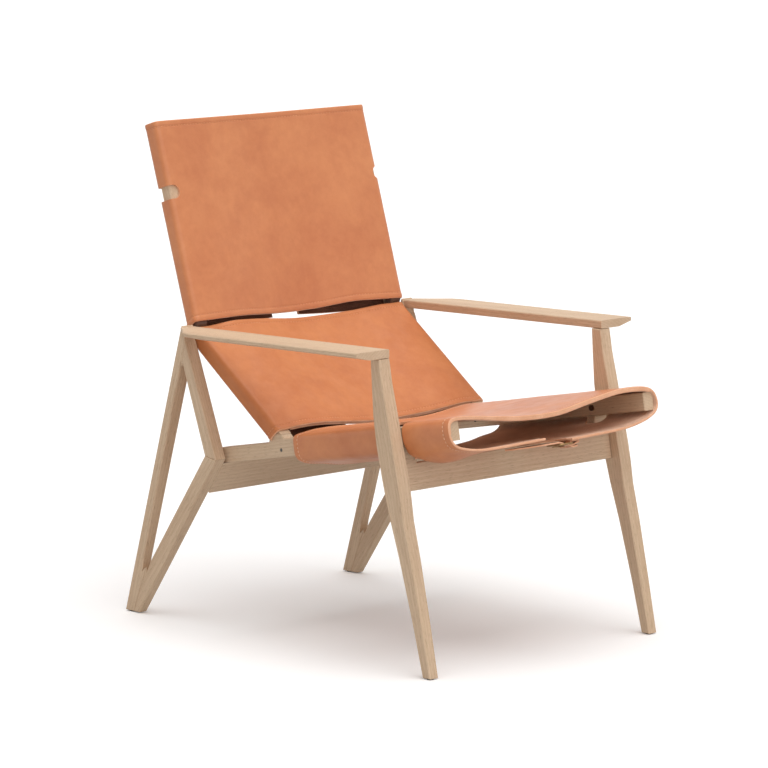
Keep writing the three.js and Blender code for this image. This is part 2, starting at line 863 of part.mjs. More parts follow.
// The belt: on one flap, under the buckle's front bar, up through it and over the heel
function beltPath(run, at) {
  const bar = buckleDown(run, at);
  const low = (x) => ({ x, down: run.beltFace(x, at) + clearance });
  const gapLevel = Math.min(low(flapGap / 2).down, bar - wireRadius - clearance - beltThickness);
  const crest = bar + wireRadius + 2 * clearance + beltThickness;
  const tail = (x) => ({ x, down: crest + run.beltFace(x, at) - run.beltFace(buckleHeelX, at) });
  const windowX = buckleFrontX + wireRadius + 2 * beltThickness;
  return thicken([
    low(beltStartX), low(lerp(beltStartX, -flapGap / 2, middleShare)),
    low(-flapGap / 2 - beltThickness),
    { x: buckleFrontX - wireRadius, down: gapLevel },
    { x: buckleFrontX + wireRadius, down: gapLevel },
    { x: windowX, down: lerp(gapLevel, crest, strapClimbShares.window) },
    {
      x: buckleHeelX - 2 * wireRadius - beltThickness,
      down: lerp(gapLevel, crest, strapClimbShares.heel),
    },
    { x: buckleHeelX - wireRadius, down: crest },
    tail(lerp(buckleHeelX, beltEndX, middleShare)), tail(beltEndX),
  ]);
}

function belt(run, at) {
  const slotFrom = buckleFrontX + wireRadius + beltThickness;
  const bar = buckleDown(run, at);
  const slot = boxIn(run, slotFrom, slotFrom + slotLength, at - slotWidth / 2, at + slotWidth / 2,
    bar - 4 * beltThickness, bar + 4 * beltThickness);
  return cut(strip(run, at, beltPath(run, at), beltWidth), [slot]);
}

// A block in a run's own directions
function boxIn(run, fromX, toX, fromAlong, toAlong, fromDown, toDown) {
  const ring = (x) => [
    run.place(x, fromAlong, fromDown), run.place(x, toAlong, fromDown),
    run.place(x, toAlong, toDown), run.place(x, fromAlong, toDown),
  ];
  return loft([ring(fromX), ring(toX)]);
}

// The chape: a strip folded round the buckle's heel bar, both ends on the other flap
function chape(run, at) {
  const bar = buckleDown(run, at);
  const inner = wireRadius + clearance;
  const outer = inner + beltThickness;
  const path = [];
  const low = (x) => ({
    x, down: run.beltFace(x, at) + clearance + beltThickness,
    outX: x, outDown: run.beltFace(x, at) + clearance,
  });
  path.push(low(chapeEndX), low(lerp(chapeEndX, buckleHeelX, middleShare)));
  for (let step = 0; step <= 2 * bendSteps; step += 1) {
    const angle = -Math.PI / 2 - Math.PI * step / (2 * bendSteps);
    path.push({
      x: buckleHeelX + inner * Math.cos(angle),
      down: bar + inner * Math.sin(angle),
      outX: buckleHeelX + outer * Math.cos(angle),
      outDown: bar + outer * Math.sin(angle),
    });
  }
  for (const share of [middleShare, 1]) {
    const x = lerp(buckleHeelX, chapeEndX, share);
    const down = run.beltFace(x, at) + 2 * clearance + beltThickness;
    path.push({ x, down, outX: x, outDown: down + beltThickness });
  }
  const slot = boxIn(run, buckleHeelX - outer - cutOverrun, buckleHeelX + inner + beltThickness,
    at - slotWidth / 2, at + slotWidth / 2, bar - outer - cutOverrun, bar + outer + cutOverrun);
  return cut(strip(run, at, path, beltWidth), [slot]);
}

// The buckle's frame: a round wire bent into a rounded rectangle
function buckleFrame(run, at) {
  const bar = buckleDown(run, at);
  const rings = [];
  const halfAlong = buckleWidth / 2;
  const middleX = (buckleHeelX + buckleFrontX) / 2;
  const halfX = (buckleHeelX - buckleFrontX) / 2;
  const corners = [[1, 1, 0], [-1, 1, 1], [-1, -1, 2], [1, -1, 3]];
  for (const [signX, signAlong, turn] of corners) {
    for (let step = 0; step <= slotSteps; step += 1) {
      const angle = (turn + step / slotSteps) * Math.PI / 2;
      const centreX = middleX + signX * (halfX - buckleCorner);
      const centreAlong = at + signAlong * (halfAlong - buckleCorner);
      const ring = [];
      for (let i = 0; i < wireSteps; i += 1) {
        const round = 2 * Math.PI * i / wireSteps;
        const reach = buckleCorner + wireRadius * Math.cos(round);
        ring.push(run.place(
          centreX + reach * Math.cos(angle),
          centreAlong + reach * Math.sin(angle),
          bar + wireRadius * Math.sin(round),
        ));
      }
      rings.push(ring);
    }
  }
  return loop(rings);
}

// The prong: an eye round the heel bar and a flat pin whose tip lies on the front bar
function prong(run, at) {
  const bar = buckleDown(run, at);
  const hole = wireRadius + prongSlack;
  const outer = hole + prongEye;
  const tipX = buckleFrontX - wireRadius - prongOverhang;
  const rest = wireRadius + clearance;
  const shape = new THREE.Shape();
  const meet = Math.asin(rest / outer);
  shape.absarc(0, 0, outer, Math.PI - meet, Math.PI / 2, false);
  shape.lineTo(tipX - buckleHeelX + prongThickness, rest + prongThickness);
  shape.lineTo(tipX - buckleHeelX, rest + prongThickness / 2);
  shape.lineTo(tipX - buckleHeelX, rest);
  const eye = new THREE.Path();
  eye.absarc(0, 0, hole, 0, 2 * Math.PI, false);
  shape.holes.push(eye);
  const geometry = new THREE.ExtrudeGeometry(shape, {
    depth: prongWidth, bevelEnabled: false, curveSegments: wireSteps,
  });
  return mapped(geometry, (x, down, across) => run.place(
    buckleHeelX + x, at + across - prongWidth / 2, bar + down));
}

function addSideFrames() {
  for (const { name, sign } of sides) {
    addPiece(`front_leg_${name}`, frontLeg(sign), "wood");
    addPiece(`rear_leg_${name}`, rearLeg(sign), "wood");
    addPiece(`upper_strut_${name}`, sideBoard(upperStrutOutline(), aFrameThicknessAt, sign), "wood");
    addPiece(`lower_strut_${name}`, sideBoard(lowerStrutOutline(), aFrameThicknessAt, sign), "wood");
    addPiece(`armrest_${name}`, armrest(sign), "wood");
    const frontFootY = legFootFrontY + legFootDepth / 2;
    const rearFootY = (footRear.y + footSplit.y) / 2;
    addPiece(`front_glide_${name}`, glide(sign, frontFootY), "glide");
    addPiece(`rear_glide_${name}`, glide(sign, rearFootY), "glide");
  }
}

function addSeatFrame() {
  addPiece("front_cross_rail", frontRail(), "wood");
  addPiece("rear_cross_rail", rearRail(), "wood");
  addPiece("back_spreader", spreader(), "wood");
  for (const { name, sign } of sides) {
    const legX = legInnerX(seatBoltAt.z);
    const apexX = aFrameInnerX(backBoltAt.z);
    addPiece(`seat_rail_${name}`, seatRail(sign), "wood");
    addPiece(`back_upright_${name}`, backUpright(sign), "wood");
    addPiece(`seat_spacer_${name}`,
      spacer(seatSpacerRadius, seatBoltRadius + clearance, sign, legX, seatBoltAt), "steel");
    addPiece(`seat_bolt_${name}`, bolt(seatBoltRadius, sign, legX + boltGrip, seatBoltAt), "steel");
    addPiece(`back_spacer_${name}`,
      spacer(backSpacerRadius, backBoltRadius + clearance, sign, apexX, backBoltAt), "steel");
    addPiece(`back_bolt_${name}`, bolt(backBoltRadius, sign, apexX + boltGrip, backBoltAt), "steel");
    addPiece(`lobe_screw_${name}`, barAlongX(lobeScrewRadius, sign * (railInnerX + clearance),
      sign * (railOuterX - clearance), lobeScrewAt), "steel");
  }
}

function addBelts(prefix, run, places) {
  places.forEach((at, i) => {
    const name = `${prefix}_${i + 1}`;
    addPiece(`${name}_strap`, belt(run, at), "belt");
    addPiece(`${name}_chape`, chape(run, at), "belt");
    addPiece(`${name}_buckle_frame`, buckleFrame(run, at), "brass");
    addPiece(`${name}_buckle_prong`, prong(run, at), "brass");
  });
}

function addSlings() {
  addPiece("seat_sling", seatSling(), "leather");
  addPiece("lumbar_sling", lumbarSling(), "leather");
  addPiece("back_sling", backSling(), "leather");
  addBelts("seat_belt", seat, seatBeltPlaces);
  addBelts("lumbar_belt", lumbar, lumbarBeltPlaces);
  addBelts("back_belt", back, backBeltPlaces);
}

// The origin lies on the floor under the middle of the chair
function centreOnFloor() {
  const box = new THREE.Box3().setFromObject(chair);
  const middle = box.getCenter(new THREE.Vector3());
  for (const piece of chair.children) piece.geometry.translate(0, -middle.y, 0);
}

addSideFrames();
addSeatFrame();
addSlings();
centreOnFloor();

export default chair;
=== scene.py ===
"""Dresses a lounge chair: three leather sleeves on a wooden frame, with belts and buckles.

Drawing sizes are millimetres, as a maker writes them, and to_frame() puts them into the metres
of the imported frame. The sitter faces -Y, and right is the sitter's right, at -X.
"""

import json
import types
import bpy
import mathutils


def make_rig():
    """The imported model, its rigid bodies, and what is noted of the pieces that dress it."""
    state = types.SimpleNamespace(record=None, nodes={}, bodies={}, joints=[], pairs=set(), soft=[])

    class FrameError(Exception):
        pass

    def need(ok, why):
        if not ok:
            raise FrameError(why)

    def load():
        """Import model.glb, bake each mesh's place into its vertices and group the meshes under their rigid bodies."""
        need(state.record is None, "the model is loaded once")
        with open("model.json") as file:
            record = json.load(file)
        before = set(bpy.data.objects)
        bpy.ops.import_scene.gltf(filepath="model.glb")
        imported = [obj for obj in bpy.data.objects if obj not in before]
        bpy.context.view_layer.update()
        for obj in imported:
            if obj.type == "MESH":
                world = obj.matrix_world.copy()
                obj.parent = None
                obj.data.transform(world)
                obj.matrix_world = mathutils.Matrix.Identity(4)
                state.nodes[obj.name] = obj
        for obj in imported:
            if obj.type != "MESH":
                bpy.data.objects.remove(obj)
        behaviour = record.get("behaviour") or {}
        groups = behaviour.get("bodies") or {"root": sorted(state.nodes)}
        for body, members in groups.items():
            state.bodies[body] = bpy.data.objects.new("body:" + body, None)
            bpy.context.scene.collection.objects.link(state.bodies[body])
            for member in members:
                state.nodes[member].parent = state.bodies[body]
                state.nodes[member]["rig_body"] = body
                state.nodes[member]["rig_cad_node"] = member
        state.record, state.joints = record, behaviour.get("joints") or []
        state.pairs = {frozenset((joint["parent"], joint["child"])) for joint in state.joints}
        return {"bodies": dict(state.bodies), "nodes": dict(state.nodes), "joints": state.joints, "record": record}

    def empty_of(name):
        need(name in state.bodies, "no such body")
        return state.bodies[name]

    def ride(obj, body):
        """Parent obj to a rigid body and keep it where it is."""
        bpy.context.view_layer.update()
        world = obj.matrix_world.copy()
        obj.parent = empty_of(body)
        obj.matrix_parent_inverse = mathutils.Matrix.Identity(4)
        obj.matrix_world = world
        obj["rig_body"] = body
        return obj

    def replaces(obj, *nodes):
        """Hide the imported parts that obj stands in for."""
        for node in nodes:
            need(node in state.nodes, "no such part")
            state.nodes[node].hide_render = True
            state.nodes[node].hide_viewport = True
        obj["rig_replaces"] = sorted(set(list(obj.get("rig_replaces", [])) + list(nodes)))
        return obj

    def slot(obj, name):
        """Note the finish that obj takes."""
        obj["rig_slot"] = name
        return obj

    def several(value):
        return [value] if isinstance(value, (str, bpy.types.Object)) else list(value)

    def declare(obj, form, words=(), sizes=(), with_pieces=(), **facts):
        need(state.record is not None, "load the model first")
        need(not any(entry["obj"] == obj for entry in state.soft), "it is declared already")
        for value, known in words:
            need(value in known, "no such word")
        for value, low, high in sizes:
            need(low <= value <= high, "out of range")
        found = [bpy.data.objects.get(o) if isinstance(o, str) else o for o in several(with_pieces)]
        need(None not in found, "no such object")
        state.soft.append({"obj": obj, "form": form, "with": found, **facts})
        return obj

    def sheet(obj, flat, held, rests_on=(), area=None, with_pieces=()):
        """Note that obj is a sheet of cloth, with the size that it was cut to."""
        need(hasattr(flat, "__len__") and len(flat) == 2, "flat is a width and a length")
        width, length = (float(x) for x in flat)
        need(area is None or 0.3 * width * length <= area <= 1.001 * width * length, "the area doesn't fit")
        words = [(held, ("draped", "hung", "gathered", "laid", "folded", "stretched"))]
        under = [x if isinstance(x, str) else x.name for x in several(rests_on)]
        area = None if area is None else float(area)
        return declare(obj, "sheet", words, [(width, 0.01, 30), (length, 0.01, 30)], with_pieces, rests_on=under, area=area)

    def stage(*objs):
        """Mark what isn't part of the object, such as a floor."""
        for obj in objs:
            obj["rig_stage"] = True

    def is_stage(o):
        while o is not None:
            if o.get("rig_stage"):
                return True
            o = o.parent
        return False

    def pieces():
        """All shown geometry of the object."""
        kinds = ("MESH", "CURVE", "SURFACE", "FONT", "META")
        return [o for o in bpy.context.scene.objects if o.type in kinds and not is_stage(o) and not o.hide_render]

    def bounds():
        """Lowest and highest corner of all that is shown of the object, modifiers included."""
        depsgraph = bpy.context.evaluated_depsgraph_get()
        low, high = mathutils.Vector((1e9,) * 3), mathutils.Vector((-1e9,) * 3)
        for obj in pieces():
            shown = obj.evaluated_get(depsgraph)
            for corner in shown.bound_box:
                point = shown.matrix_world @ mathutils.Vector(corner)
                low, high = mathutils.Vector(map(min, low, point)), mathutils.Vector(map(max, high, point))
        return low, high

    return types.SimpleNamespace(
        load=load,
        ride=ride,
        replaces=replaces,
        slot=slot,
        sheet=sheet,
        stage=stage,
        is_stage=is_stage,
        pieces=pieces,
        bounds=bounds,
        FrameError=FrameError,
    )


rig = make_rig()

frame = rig.load()
cad_low, cad_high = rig.bounds()

import json
import logging
import math
from dataclasses import dataclass, field
from enum import Enum
from typing import Any, Callable, Optional, Sequence, Union

import bpy
import numpy as np
from mathutils import Matrix, Vector

log = logging.getLogger("lounge_chair")
Array = np.ndarray
Socket = bpy.types.NodeSocket
Keep = Callable[[Array], Array]

MILLIMETRE = 0.001
SIZE_FILE = "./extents.json"

# How far the imported frame is moved from the drawing along Y, in millimetres
FRAME_SHIFT_Y = -0.4857

# Sizes that several sub-assemblies share, in millimetres
RAIL_INNER_X = 232.1
RAIL_OUTER_X = 257.3
SLEEVE_HALF_WIDTH = 262.1
FLAP_EDGE_X = 256.1
CLEARANCE = 0.3
LEATHER = 4.5
LEATHER_ROUNDING = 1.5
FLAP_GAP = 65.0
LOBE_CENTRE = (33.0, 358.4)
LOBE_RADIUS = 24.0
UPRIGHT_BEND = 276.0

# The angle past which an edge stays sharp, in degrees
SHARP_LEATHER = 50.0
SHARP_METAL = 80.0


class Side(Enum):
    """The two sides of the chair and the sign of their X."""

    RIGHT = -1
    LEFT = 1

    @property
    def word(self) -> str:
        """The side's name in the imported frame."""
        return self.name.lower()


def to_frame(points: Array) -> Array:
    """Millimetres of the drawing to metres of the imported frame.

    Args:
        points: (..., 3) places in the drawing.

    Returns:
        The same places in metres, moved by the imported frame's shift along Y.
    """
    return (np.asarray(points, float) + (0.0, FRAME_SHIFT_Y, 0.0)) * MILLIMETRE


def unit(vectors: Array) -> Array:
    """Vectors divided by their lengths."""
    return vectors / np.maximum(np.linalg.norm(vectors, axis=-1, keepdims=True), 1e-12)


# Shapes: corners, faces and finish numbers, all whole arrays


@dataclass
class Shape:
    """A mesh before Blender sees it.

    corners are (N, 3) millimetres, faces a list of (M, k) corner numbers, and finish the
    material number of every face, one (M,) array for each entry of faces.
    """

    corners: Array
    faces: list
    finish: list

    def turned_out(self) -> "Shape":
        """Turns the faces outwards: the sum of the signed volumes is then positive.

        Returns:
            The same shape.
        """
        six = 0.0
        for faces in self.faces:
            first = self.corners[faces[:, 0]]
            for k in range(1, faces.shape[1] - 1):
                fan = np.cross(self.corners[faces[:, k]], self.corners[faces[:, k + 1]])
                six += float((first * fan).sum())
        if six < 0:
            self.faces = [faces[:, ::-1] for faces in self.faces]
        return self


def joined(shapes: Sequence[Shape]) -> Shape:
    """Several shapes as one.

    Args:
        shapes: The shapes, each closed on its own.

    Returns:
        One shape whose faces count on through all the corners.
    """
    corners, faces, finish, first = [], [], [], 0
    for shape in shapes:
        corners.append(shape.corners)
        faces += [part + first for part in shape.faces]
        finish += shape.finish
        first += len(shape.corners)
    return Shape(np.concatenate(corners), faces, finish)


def grid_faces(rows: int, columns: int, wrap: bool = False) -> Array:
    """The quads of a grid of corners: each joins a corner, the next, and the two in the next row.

    Args:
        rows: Rows of corners.
        columns: Corners in a row.
        wrap: Whether the last column joins the first.

    Returns:
        (M, 4) corner numbers.
    """
    i, j = np.meshgrid(np.arange(rows - 1), np.arange(columns if wrap else columns - 1),
                       indexing="ij")
    i, j = i.ravel(), j.ravel()
    after = (j + 1) % columns
    return np.stack([i * columns + j, i * columns + after,
                     (i + 1) * columns + after, (i + 1) * columns + j], axis=1)


def thick_sheet(face: Array, inward: Array, thickness: Array, edge: Array,
                rounding: float) -> Shape:
    """A closed sheet of leather below a grid of points.

    The outer skin is the grid, the inner skin lies thickness further along inward, and near the
    border both are eased by r - sqrt(r^2 - (r - e)^2), a quarter round, e being the distance
    to the border. Finish 0 is the outer skin, 1 the inner skin and 2 the cut edge.

    Args:
        face: (R, C, 3) points of the outer skin.
        inward: (R, C, 3) unit directions into the sheet.
        thickness: The sheet's thickness, one number or (R, C).
        edge: (R, C) distances to the nearest border.
        rounding: The radius of the eased border.

    Returns:
        The closed sheet.
    """
    rows, columns = edge.shape
    reach = rounding - np.clip(edge, 0.0, rounding)
    ease = rounding - np.sqrt(np.maximum(rounding ** 2 - reach ** 2, 0.0))
    thick = np.broadcast_to(thickness, edge.shape)
    ease = np.minimum(ease, thick * 0.45)
    outer = face + inward * ease[..., None]
    inner = face + inward * (thick - ease)[..., None]
    corners = np.concatenate([outer.reshape(-1, 3), inner.reshape(-1, 3)])
    count = rows * columns
    outer_faces = grid_faces(rows, columns)
    inner_faces = outer_faces[:, ::-1] + count
    near = (edge.ravel()[outer_faces].mean(axis=1) < rounding * 0.8).astype(int)
    j, i = np.arange(columns - 1), np.arange(rows - 1)
    last = (rows - 1) * columns
    end = columns - 1
    walls = np.concatenate([
        np.stack([j + 1, j, count + j, count + j + 1], axis=1),
        np.stack([last + j, last + j + 1, count + last + j + 1, count + last + j], axis=1),
        np.stack([i * columns, (i + 1) * columns, count + (i + 1) * columns,
                  count + i * columns], axis=1),
        np.stack([(i + 1) * columns + end, i * columns + end, count + i * columns + end,
                  count + (i + 1) * columns + end], axis=1),
    ])
    shape = Shape(corners, [outer_faces, inner_faces, walls],
                  [2 * near, 1 + near, np.full(len(walls), 2)])
    return shape.turned_out()


def tube(path: Array, across: Array, wide: Array, high: Array, sides: int,
         closed: bool) -> Shape:
    """A round or oval bar carried along a flat path.

    At each point the section is wide * cos(a) along the path's own normal and high * sin(a)
    along the direction across, for a all the way round.

    Args:
        path: (N, 3) centre line.
        across: The unit direction across the path's plane.
        wide: Half width in the path's plane, one number or (N,).
        high: Half height across the plane, one number or (N,).
        sides: Corners of the section.
        closed: Whether the end joins the start.

    Returns:
        The closed bar.
    """
    count = len(path)
    if closed:
        step = np.roll(path, -1, axis=0) - np.roll(path, 1, axis=0)
    else:
        step = np.gradient(path, axis=0)
    normal = unit(np.cross(unit(step), across))
    turn = np.linspace(0.0, 2 * math.pi, sides, endpoint=False)
    wide = np.broadcast_to(wide, (count,))[:, None, None]
    high = np.broadcast_to(high, (count,))[:, None, None]
    ring = (wide * np.cos(turn)[None, :, None] * normal[:, None, :]
            + high * np.sin(turn)[None, :, None] * np.asarray(across)[None, None, :])
    corners = (path[:, None, :] + ring).reshape(-1, 3)
    faces = [grid_faces(count, sides, wrap=True)]
    if closed:
        j = np.arange(sides)
        after = (j + 1) % sides
        last = (count - 1) * sides
        faces.append(np.stack([last + j, last + after, after, j], axis=1))
    else:
        ends = np.arange(sides)
        faces.append(np.stack([ends[::-1], ends + (count - 1) * sides]))
    finish = [np.zeros(len(part), int) for part in faces]
    return Shape(corners, faces, finish).turned_out()


def prism(low: Array, high: Array) -> Shape:
    """A straight block between two copies of one outline.

    Args:
        low: (N, 3) corners of one end.
        high: (N, 3) corners of the other end.

    Returns:
        The closed block.
    """
    count = len(low)
    ring = np.arange(count)
    sides = grid_faces(2, count, wrap=True)
    caps = np.stack([ring[::-1], ring + count])
    shape = Shape(np.concatenate([low, high]), [sides, caps],
                  [np.zeros(count, int), np.zeros(2, int)])
    return shape.turned_out()


class Curve:
    """A natural cubic curve through key points, its parameter a share of the chord length."""

    def __init__(self, keys: Array, knots: Optional[Array] = None) -> None:
        """Solves the tridiagonal system of second derivatives, which are zero at both ends.

        Args:
            keys: (K, D) points.
            knots: The share at each key, from the chord lengths if left out.
        """
        self.keys = np.asarray(keys, float)
        self.knots = self.shares(self.keys) if knots is None else knots
        step = np.diff(self.knots)
        slope = np.diff(self.keys, axis=0) / step[:, None]
        count = len(self.keys)
        system = np.eye(count)
        inner = np.arange(1, count - 1)
        system[inner, inner - 1] = step[:-1]
        system[inner, inner] = 2 * (step[:-1] + step[1:])
        system[inner, inner + 1] = step[1:]
        right = np.zeros_like(self.keys)
        right[1:-1] = 6 * np.diff(slope, axis=0)
        self.bend = np.linalg.solve(system, right)

    @staticmethod
    def shares(keys: Array) -> Array:
        """Each key's share of the chord length, from 0 to 1."""
        length = np.linalg.norm(np.diff(keys, axis=0), axis=1)
        return np.concatenate([[0.0], np.cumsum(length)]) / length.sum()

    def __call__(self, share: Array) -> Array:
        """The points at these shares: a cubic between the two keys round each.

        Args:
            share: Any shape of shares from 0 to 1.

        Returns:
            Points of the same shape and one more axis.
        """
        share = np.asarray(share, float)
        low = np.clip(np.searchsorted(self.knots, share, side="right") - 1, 0,
                      len(self.knots) - 2)
        step = (self.knots[low + 1] - self.knots[low])[..., None]
        after = (share - self.knots[low])[..., None]
        before = step - after
        bend, keys = self.bend, self.keys
        return ((bend[low] * before ** 3 + bend[low + 1] * after ** 3) / (6 * step)
                + (keys[low] / step - bend[low] * step / 6) * before
                + (keys[low + 1] / step - bend[low + 1] * step / 6) * after)


# Blender objects


class Body(Enum):
    """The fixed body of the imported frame. Each prong has one of its own, named after it."""

    CHAIR = "chair"


def filled_mesh(name: str, shape: Shape,
                materials: Sequence[bpy.types.Material]) -> bpy.types.Mesh:
    """A mesh with a shape's corners and faces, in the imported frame's metres.

    Args:
        name: The mesh's name.
        shape: The shape, in millimetres.
        materials: The materials that go into its slots.

    Returns:
        The mesh.
    """
    mesh = bpy.data.meshes.new(name)
    faces = [face for part in shape.faces for face in part.tolist()]
    mesh.from_pydata(to_frame(shape.corners).tolist(), [], faces)
    for material in materials:
        mesh.materials.append(material)
    return mesh


def make_piece(name: str, shape: Shape, materials: Sequence[bpy.types.Material], slot: str,
               body: str = Body.CHAIR.value, sharp: float = SHARP_LEATHER) -> bpy.types.Object:
    """Makes a finished object at the origin and lets it ride on a body.

    Args:
        name: The piece's name.
        shape: Its mesh in millimetres.
        materials: The materials that the finish numbers count.
        slot: The record's material slot.
        body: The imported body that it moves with.
        sharp: Edges that turn by more than this many degrees stay sharp.

    Returns:
        The object.
    """
    mesh = filled_mesh(name, shape, materials)
    mesh.polygons.foreach_set("material_index", np.concatenate(shape.finish).astype(np.int32))
    mesh.shade_smooth()
    mesh.set_sharp_from_angle(angle=math.radians(sharp))
    mesh.update()
    piece = bpy.data.objects.new(name, mesh)
    bpy.context.scene.collection.objects.link(piece)
    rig.ride(piece, body)
    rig.slot(piece, slot)
    log.info("%s: %d faces", name, len(mesh.polygons))
    return piece


def carve(piece: bpy.types.Object, cutters: Sequence[Shape],
          finish: bpy.types.Material) -> None:
    """Takes closed blocks out of a piece, and gives the new walls a finish.

    Args:
        piece: The object to be cut.
        cutters: The blocks, in millimetres.
        finish: The material of the cut walls.
    """
    tools = []
    for number, cutter in enumerate(cutters):
        mesh = filled_mesh(f"cutter_{number}", cutter, [finish])
        tool = bpy.data.objects.new(mesh.name, mesh)
        bpy.context.scene.collection.objects.link(tool)
        step = piece.modifiers.new(mesh.name, "BOOLEAN")
        step.operation = "DIFFERENCE"
        step.solver = "EXACT"
        step.material_mode = "TRANSFER"
        step.object = tool
        tools.append(tool)
    bpy.context.view_layer.update()
    graph = bpy.context.evaluated_depsgraph_get()
    result = bpy.data.meshes.new_from_object(piece.evaluated_get(graph),
                                             preserve_all_data_layers=True, depsgraph=graph)
    piece.modifiers.clear()
    piece.data = result
    result.set_sharp_from_angle(angle=math.radians(SHARP_LEATHER))
    for tool in tools:
        bpy.data.objects.remove(tool, do_unlink=True)
    log.info("%s: carved to %d faces", piece.name, len(result.polygons))


# Finishes


def colour(red: int, green: int, blue: int) -> tuple:
    """A colour as a picture writes it, 0 to 255, turned into Blender's linear values.

    Args:
        red: Red.
        green: Green.
        blue: Blue.

    Returns:
        Linear red, green, blue and a full alpha.
    """
    shares = np.array([red, green, blue]) / 255
    linear = np.where(shares <= 0.04045, shares / 12.92, ((shares + 0.055) / 1.055) ** 2.4)
    return (*[float(value) for value in linear], 1.0)


class Nodes:
    """A material's node tree, with short words for making and joining its nodes."""

    def __init__(self, name: str) -> None:
        """Starts a material with a principled surface.

        Args:
            name: The material's name.
        """
        self.material = bpy.data.materials.new(name)
        self.material.use_nodes = True
        self.tree = self.material.node_tree
        self.tree.nodes.clear()
        self.surface = self.add("ShaderNodeBsdfPrincipled")
        self.output = self.add("ShaderNodeOutputMaterial")
        self.join(self.surface.outputs["BSDF"], self.output.inputs["Surface"])
        self.places = self.add("ShaderNodeTexCoord").outputs["Object"]

    def add(self, kind: str, **settings: Any) -> bpy.types.Node:
        """A new node with its settings.

        Args:
            kind: The node's type name.
            settings: Values of its own properties.

        Returns:
            The node.
        """
        node = self.tree.nodes.new(kind)
        for key, value in settings.items():
            setattr(node, key, value)
        return node

    def join(self, out: Socket, into: Socket) -> None:
        """Links an output to an input."""
        self.tree.links.new(out, into)

    def set(self, node: bpy.types.Node, **values: Any) -> bpy.types.Node:
        """Sets inputs of a node.

        Args:
            node: The node.
            values: Values by the inputs' names, with underscores for spaces.

        Returns:
            The node.
        """
        for key, value in values.items():
            node.inputs[key.replace("_", " ")].default_value = value
        return node

    def mapped(self, places: Socket, scale: tuple = (1, 1, 1), turn: tuple = (0, 0, 0),
               move: tuple = (0, 0, 0)) -> Socket:
        """Places scaled, then turned, then moved.

        Args:
            places: The places.
            scale: The scale along each axis.
            turn: The turn about each axis, in radians.
            move: How far they are moved, in metres.

        Returns:
            The new places.
        """
        node = self.add("ShaderNodeMapping")
        node.inputs["Scale"].default_value = scale
        node.inputs["Rotation"].default_value = turn
        node.inputs["Location"].default_value = move
        self.join(places, node.inputs["Vector"])
        return node.outputs["Vector"]

    def noise(self, places: Socket, scale: float, detail: float = 2.0, rough: float = 0.5,
              bend: float = 0.0) -> Socket:
        """Cloudy noise about 0.5.

        Args:
            places: Where it is read.
            scale: How many clouds go into a metre.
            detail: How many finer layers lie on them.
            rough: How strong each finer layer is.
            bend: How far the clouds are drawn out of shape.

        Returns:
            The noise.
        """
        node = self.set(self.add("ShaderNodeTexNoise"), Scale=scale, Detail=detail,
                        Roughness=rough, Distortion=bend)
        self.join(places, node.inputs["Vector"])
        return node.outputs["Fac"]

    def ramp(self, value: Socket, low: float, high: float, from_low: float = 0.0,
             from_high: float = 1.0) -> Socket:
        """A value carried from one range to another in an even S and held at its ends.

        Args:
            value: The value.
            low: What from_low becomes.
            high: What from_high becomes.
            from_low: Where the range starts.
            from_high: Where it ends.

        Returns:
            The new value.
        """
        node = self.set(self.add("ShaderNodeMapRange", interpolation_type="SMOOTHSTEP"),
                        From_Min=from_low, From_Max=from_high, To_Min=low, To_Max=high)
        self.join(value, node.inputs["Value"])
        return node.outputs["Result"]

    def mix(self, share: Socket, first: Union[Socket, tuple],
            second: Union[Socket, tuple]) -> Socket:
        """Two colours mixed by a share.

        Args:
            share: How much of the second colour there is.
            first: A colour or a socket that gives one.
            second: Another.

        Returns:
            The mixed colour.
        """
        node = self.add("ShaderNodeMix", data_type="RGBA", blend_type="MIX")
        for name, value in (("A_Color", first), ("B_Color", second)):
            socket = next(s for s in node.inputs if s.identifier == name)
            if isinstance(value, Socket):
                self.join(value, socket)
            else:
                socket.default_value = value
        self.join(share, next(s for s in node.inputs if s.identifier == "Factor_Float"))
        return next(s for s in node.outputs if s.identifier == "Result_Color")

    def maths(self, kind: str, first: Socket, second: Union[Socket, float]) -> Socket:
        """Two values joined by a sum, product or the like.

        Args:
            kind: The operation's name.
            first: A value.
            second: A number or a socket that gives one.

        Returns:
            The outcome.
        """
        node = self.add("ShaderNodeMath", operation=kind)
        self.join(first, node.inputs[0])
        if isinstance(second, Socket):
            self.join(second, node.inputs[1])
        else:
            node.inputs[1].default_value = second
        return node.outputs["Value"]

    def bump(self, height: Socket, reach: float, strength: float,
             below: Optional[Socket] = None) -> Socket:
        """A bump from heights.

        Args:
            height: The heights, from 0 to 1.
            reach: How high 1 is, in metres.
            strength: How much of it is taken.
            below: The bump that it lies on, if any.

        Returns:
            The surface's new direction.
        """
        node = self.set(self.add("ShaderNodeBump"), Distance=reach, Strength=strength)
        self.join(height, node.inputs["Height"])
        if below is not None:
            self.join(below, node.inputs["Normal"])
        return node.outputs["Normal"]


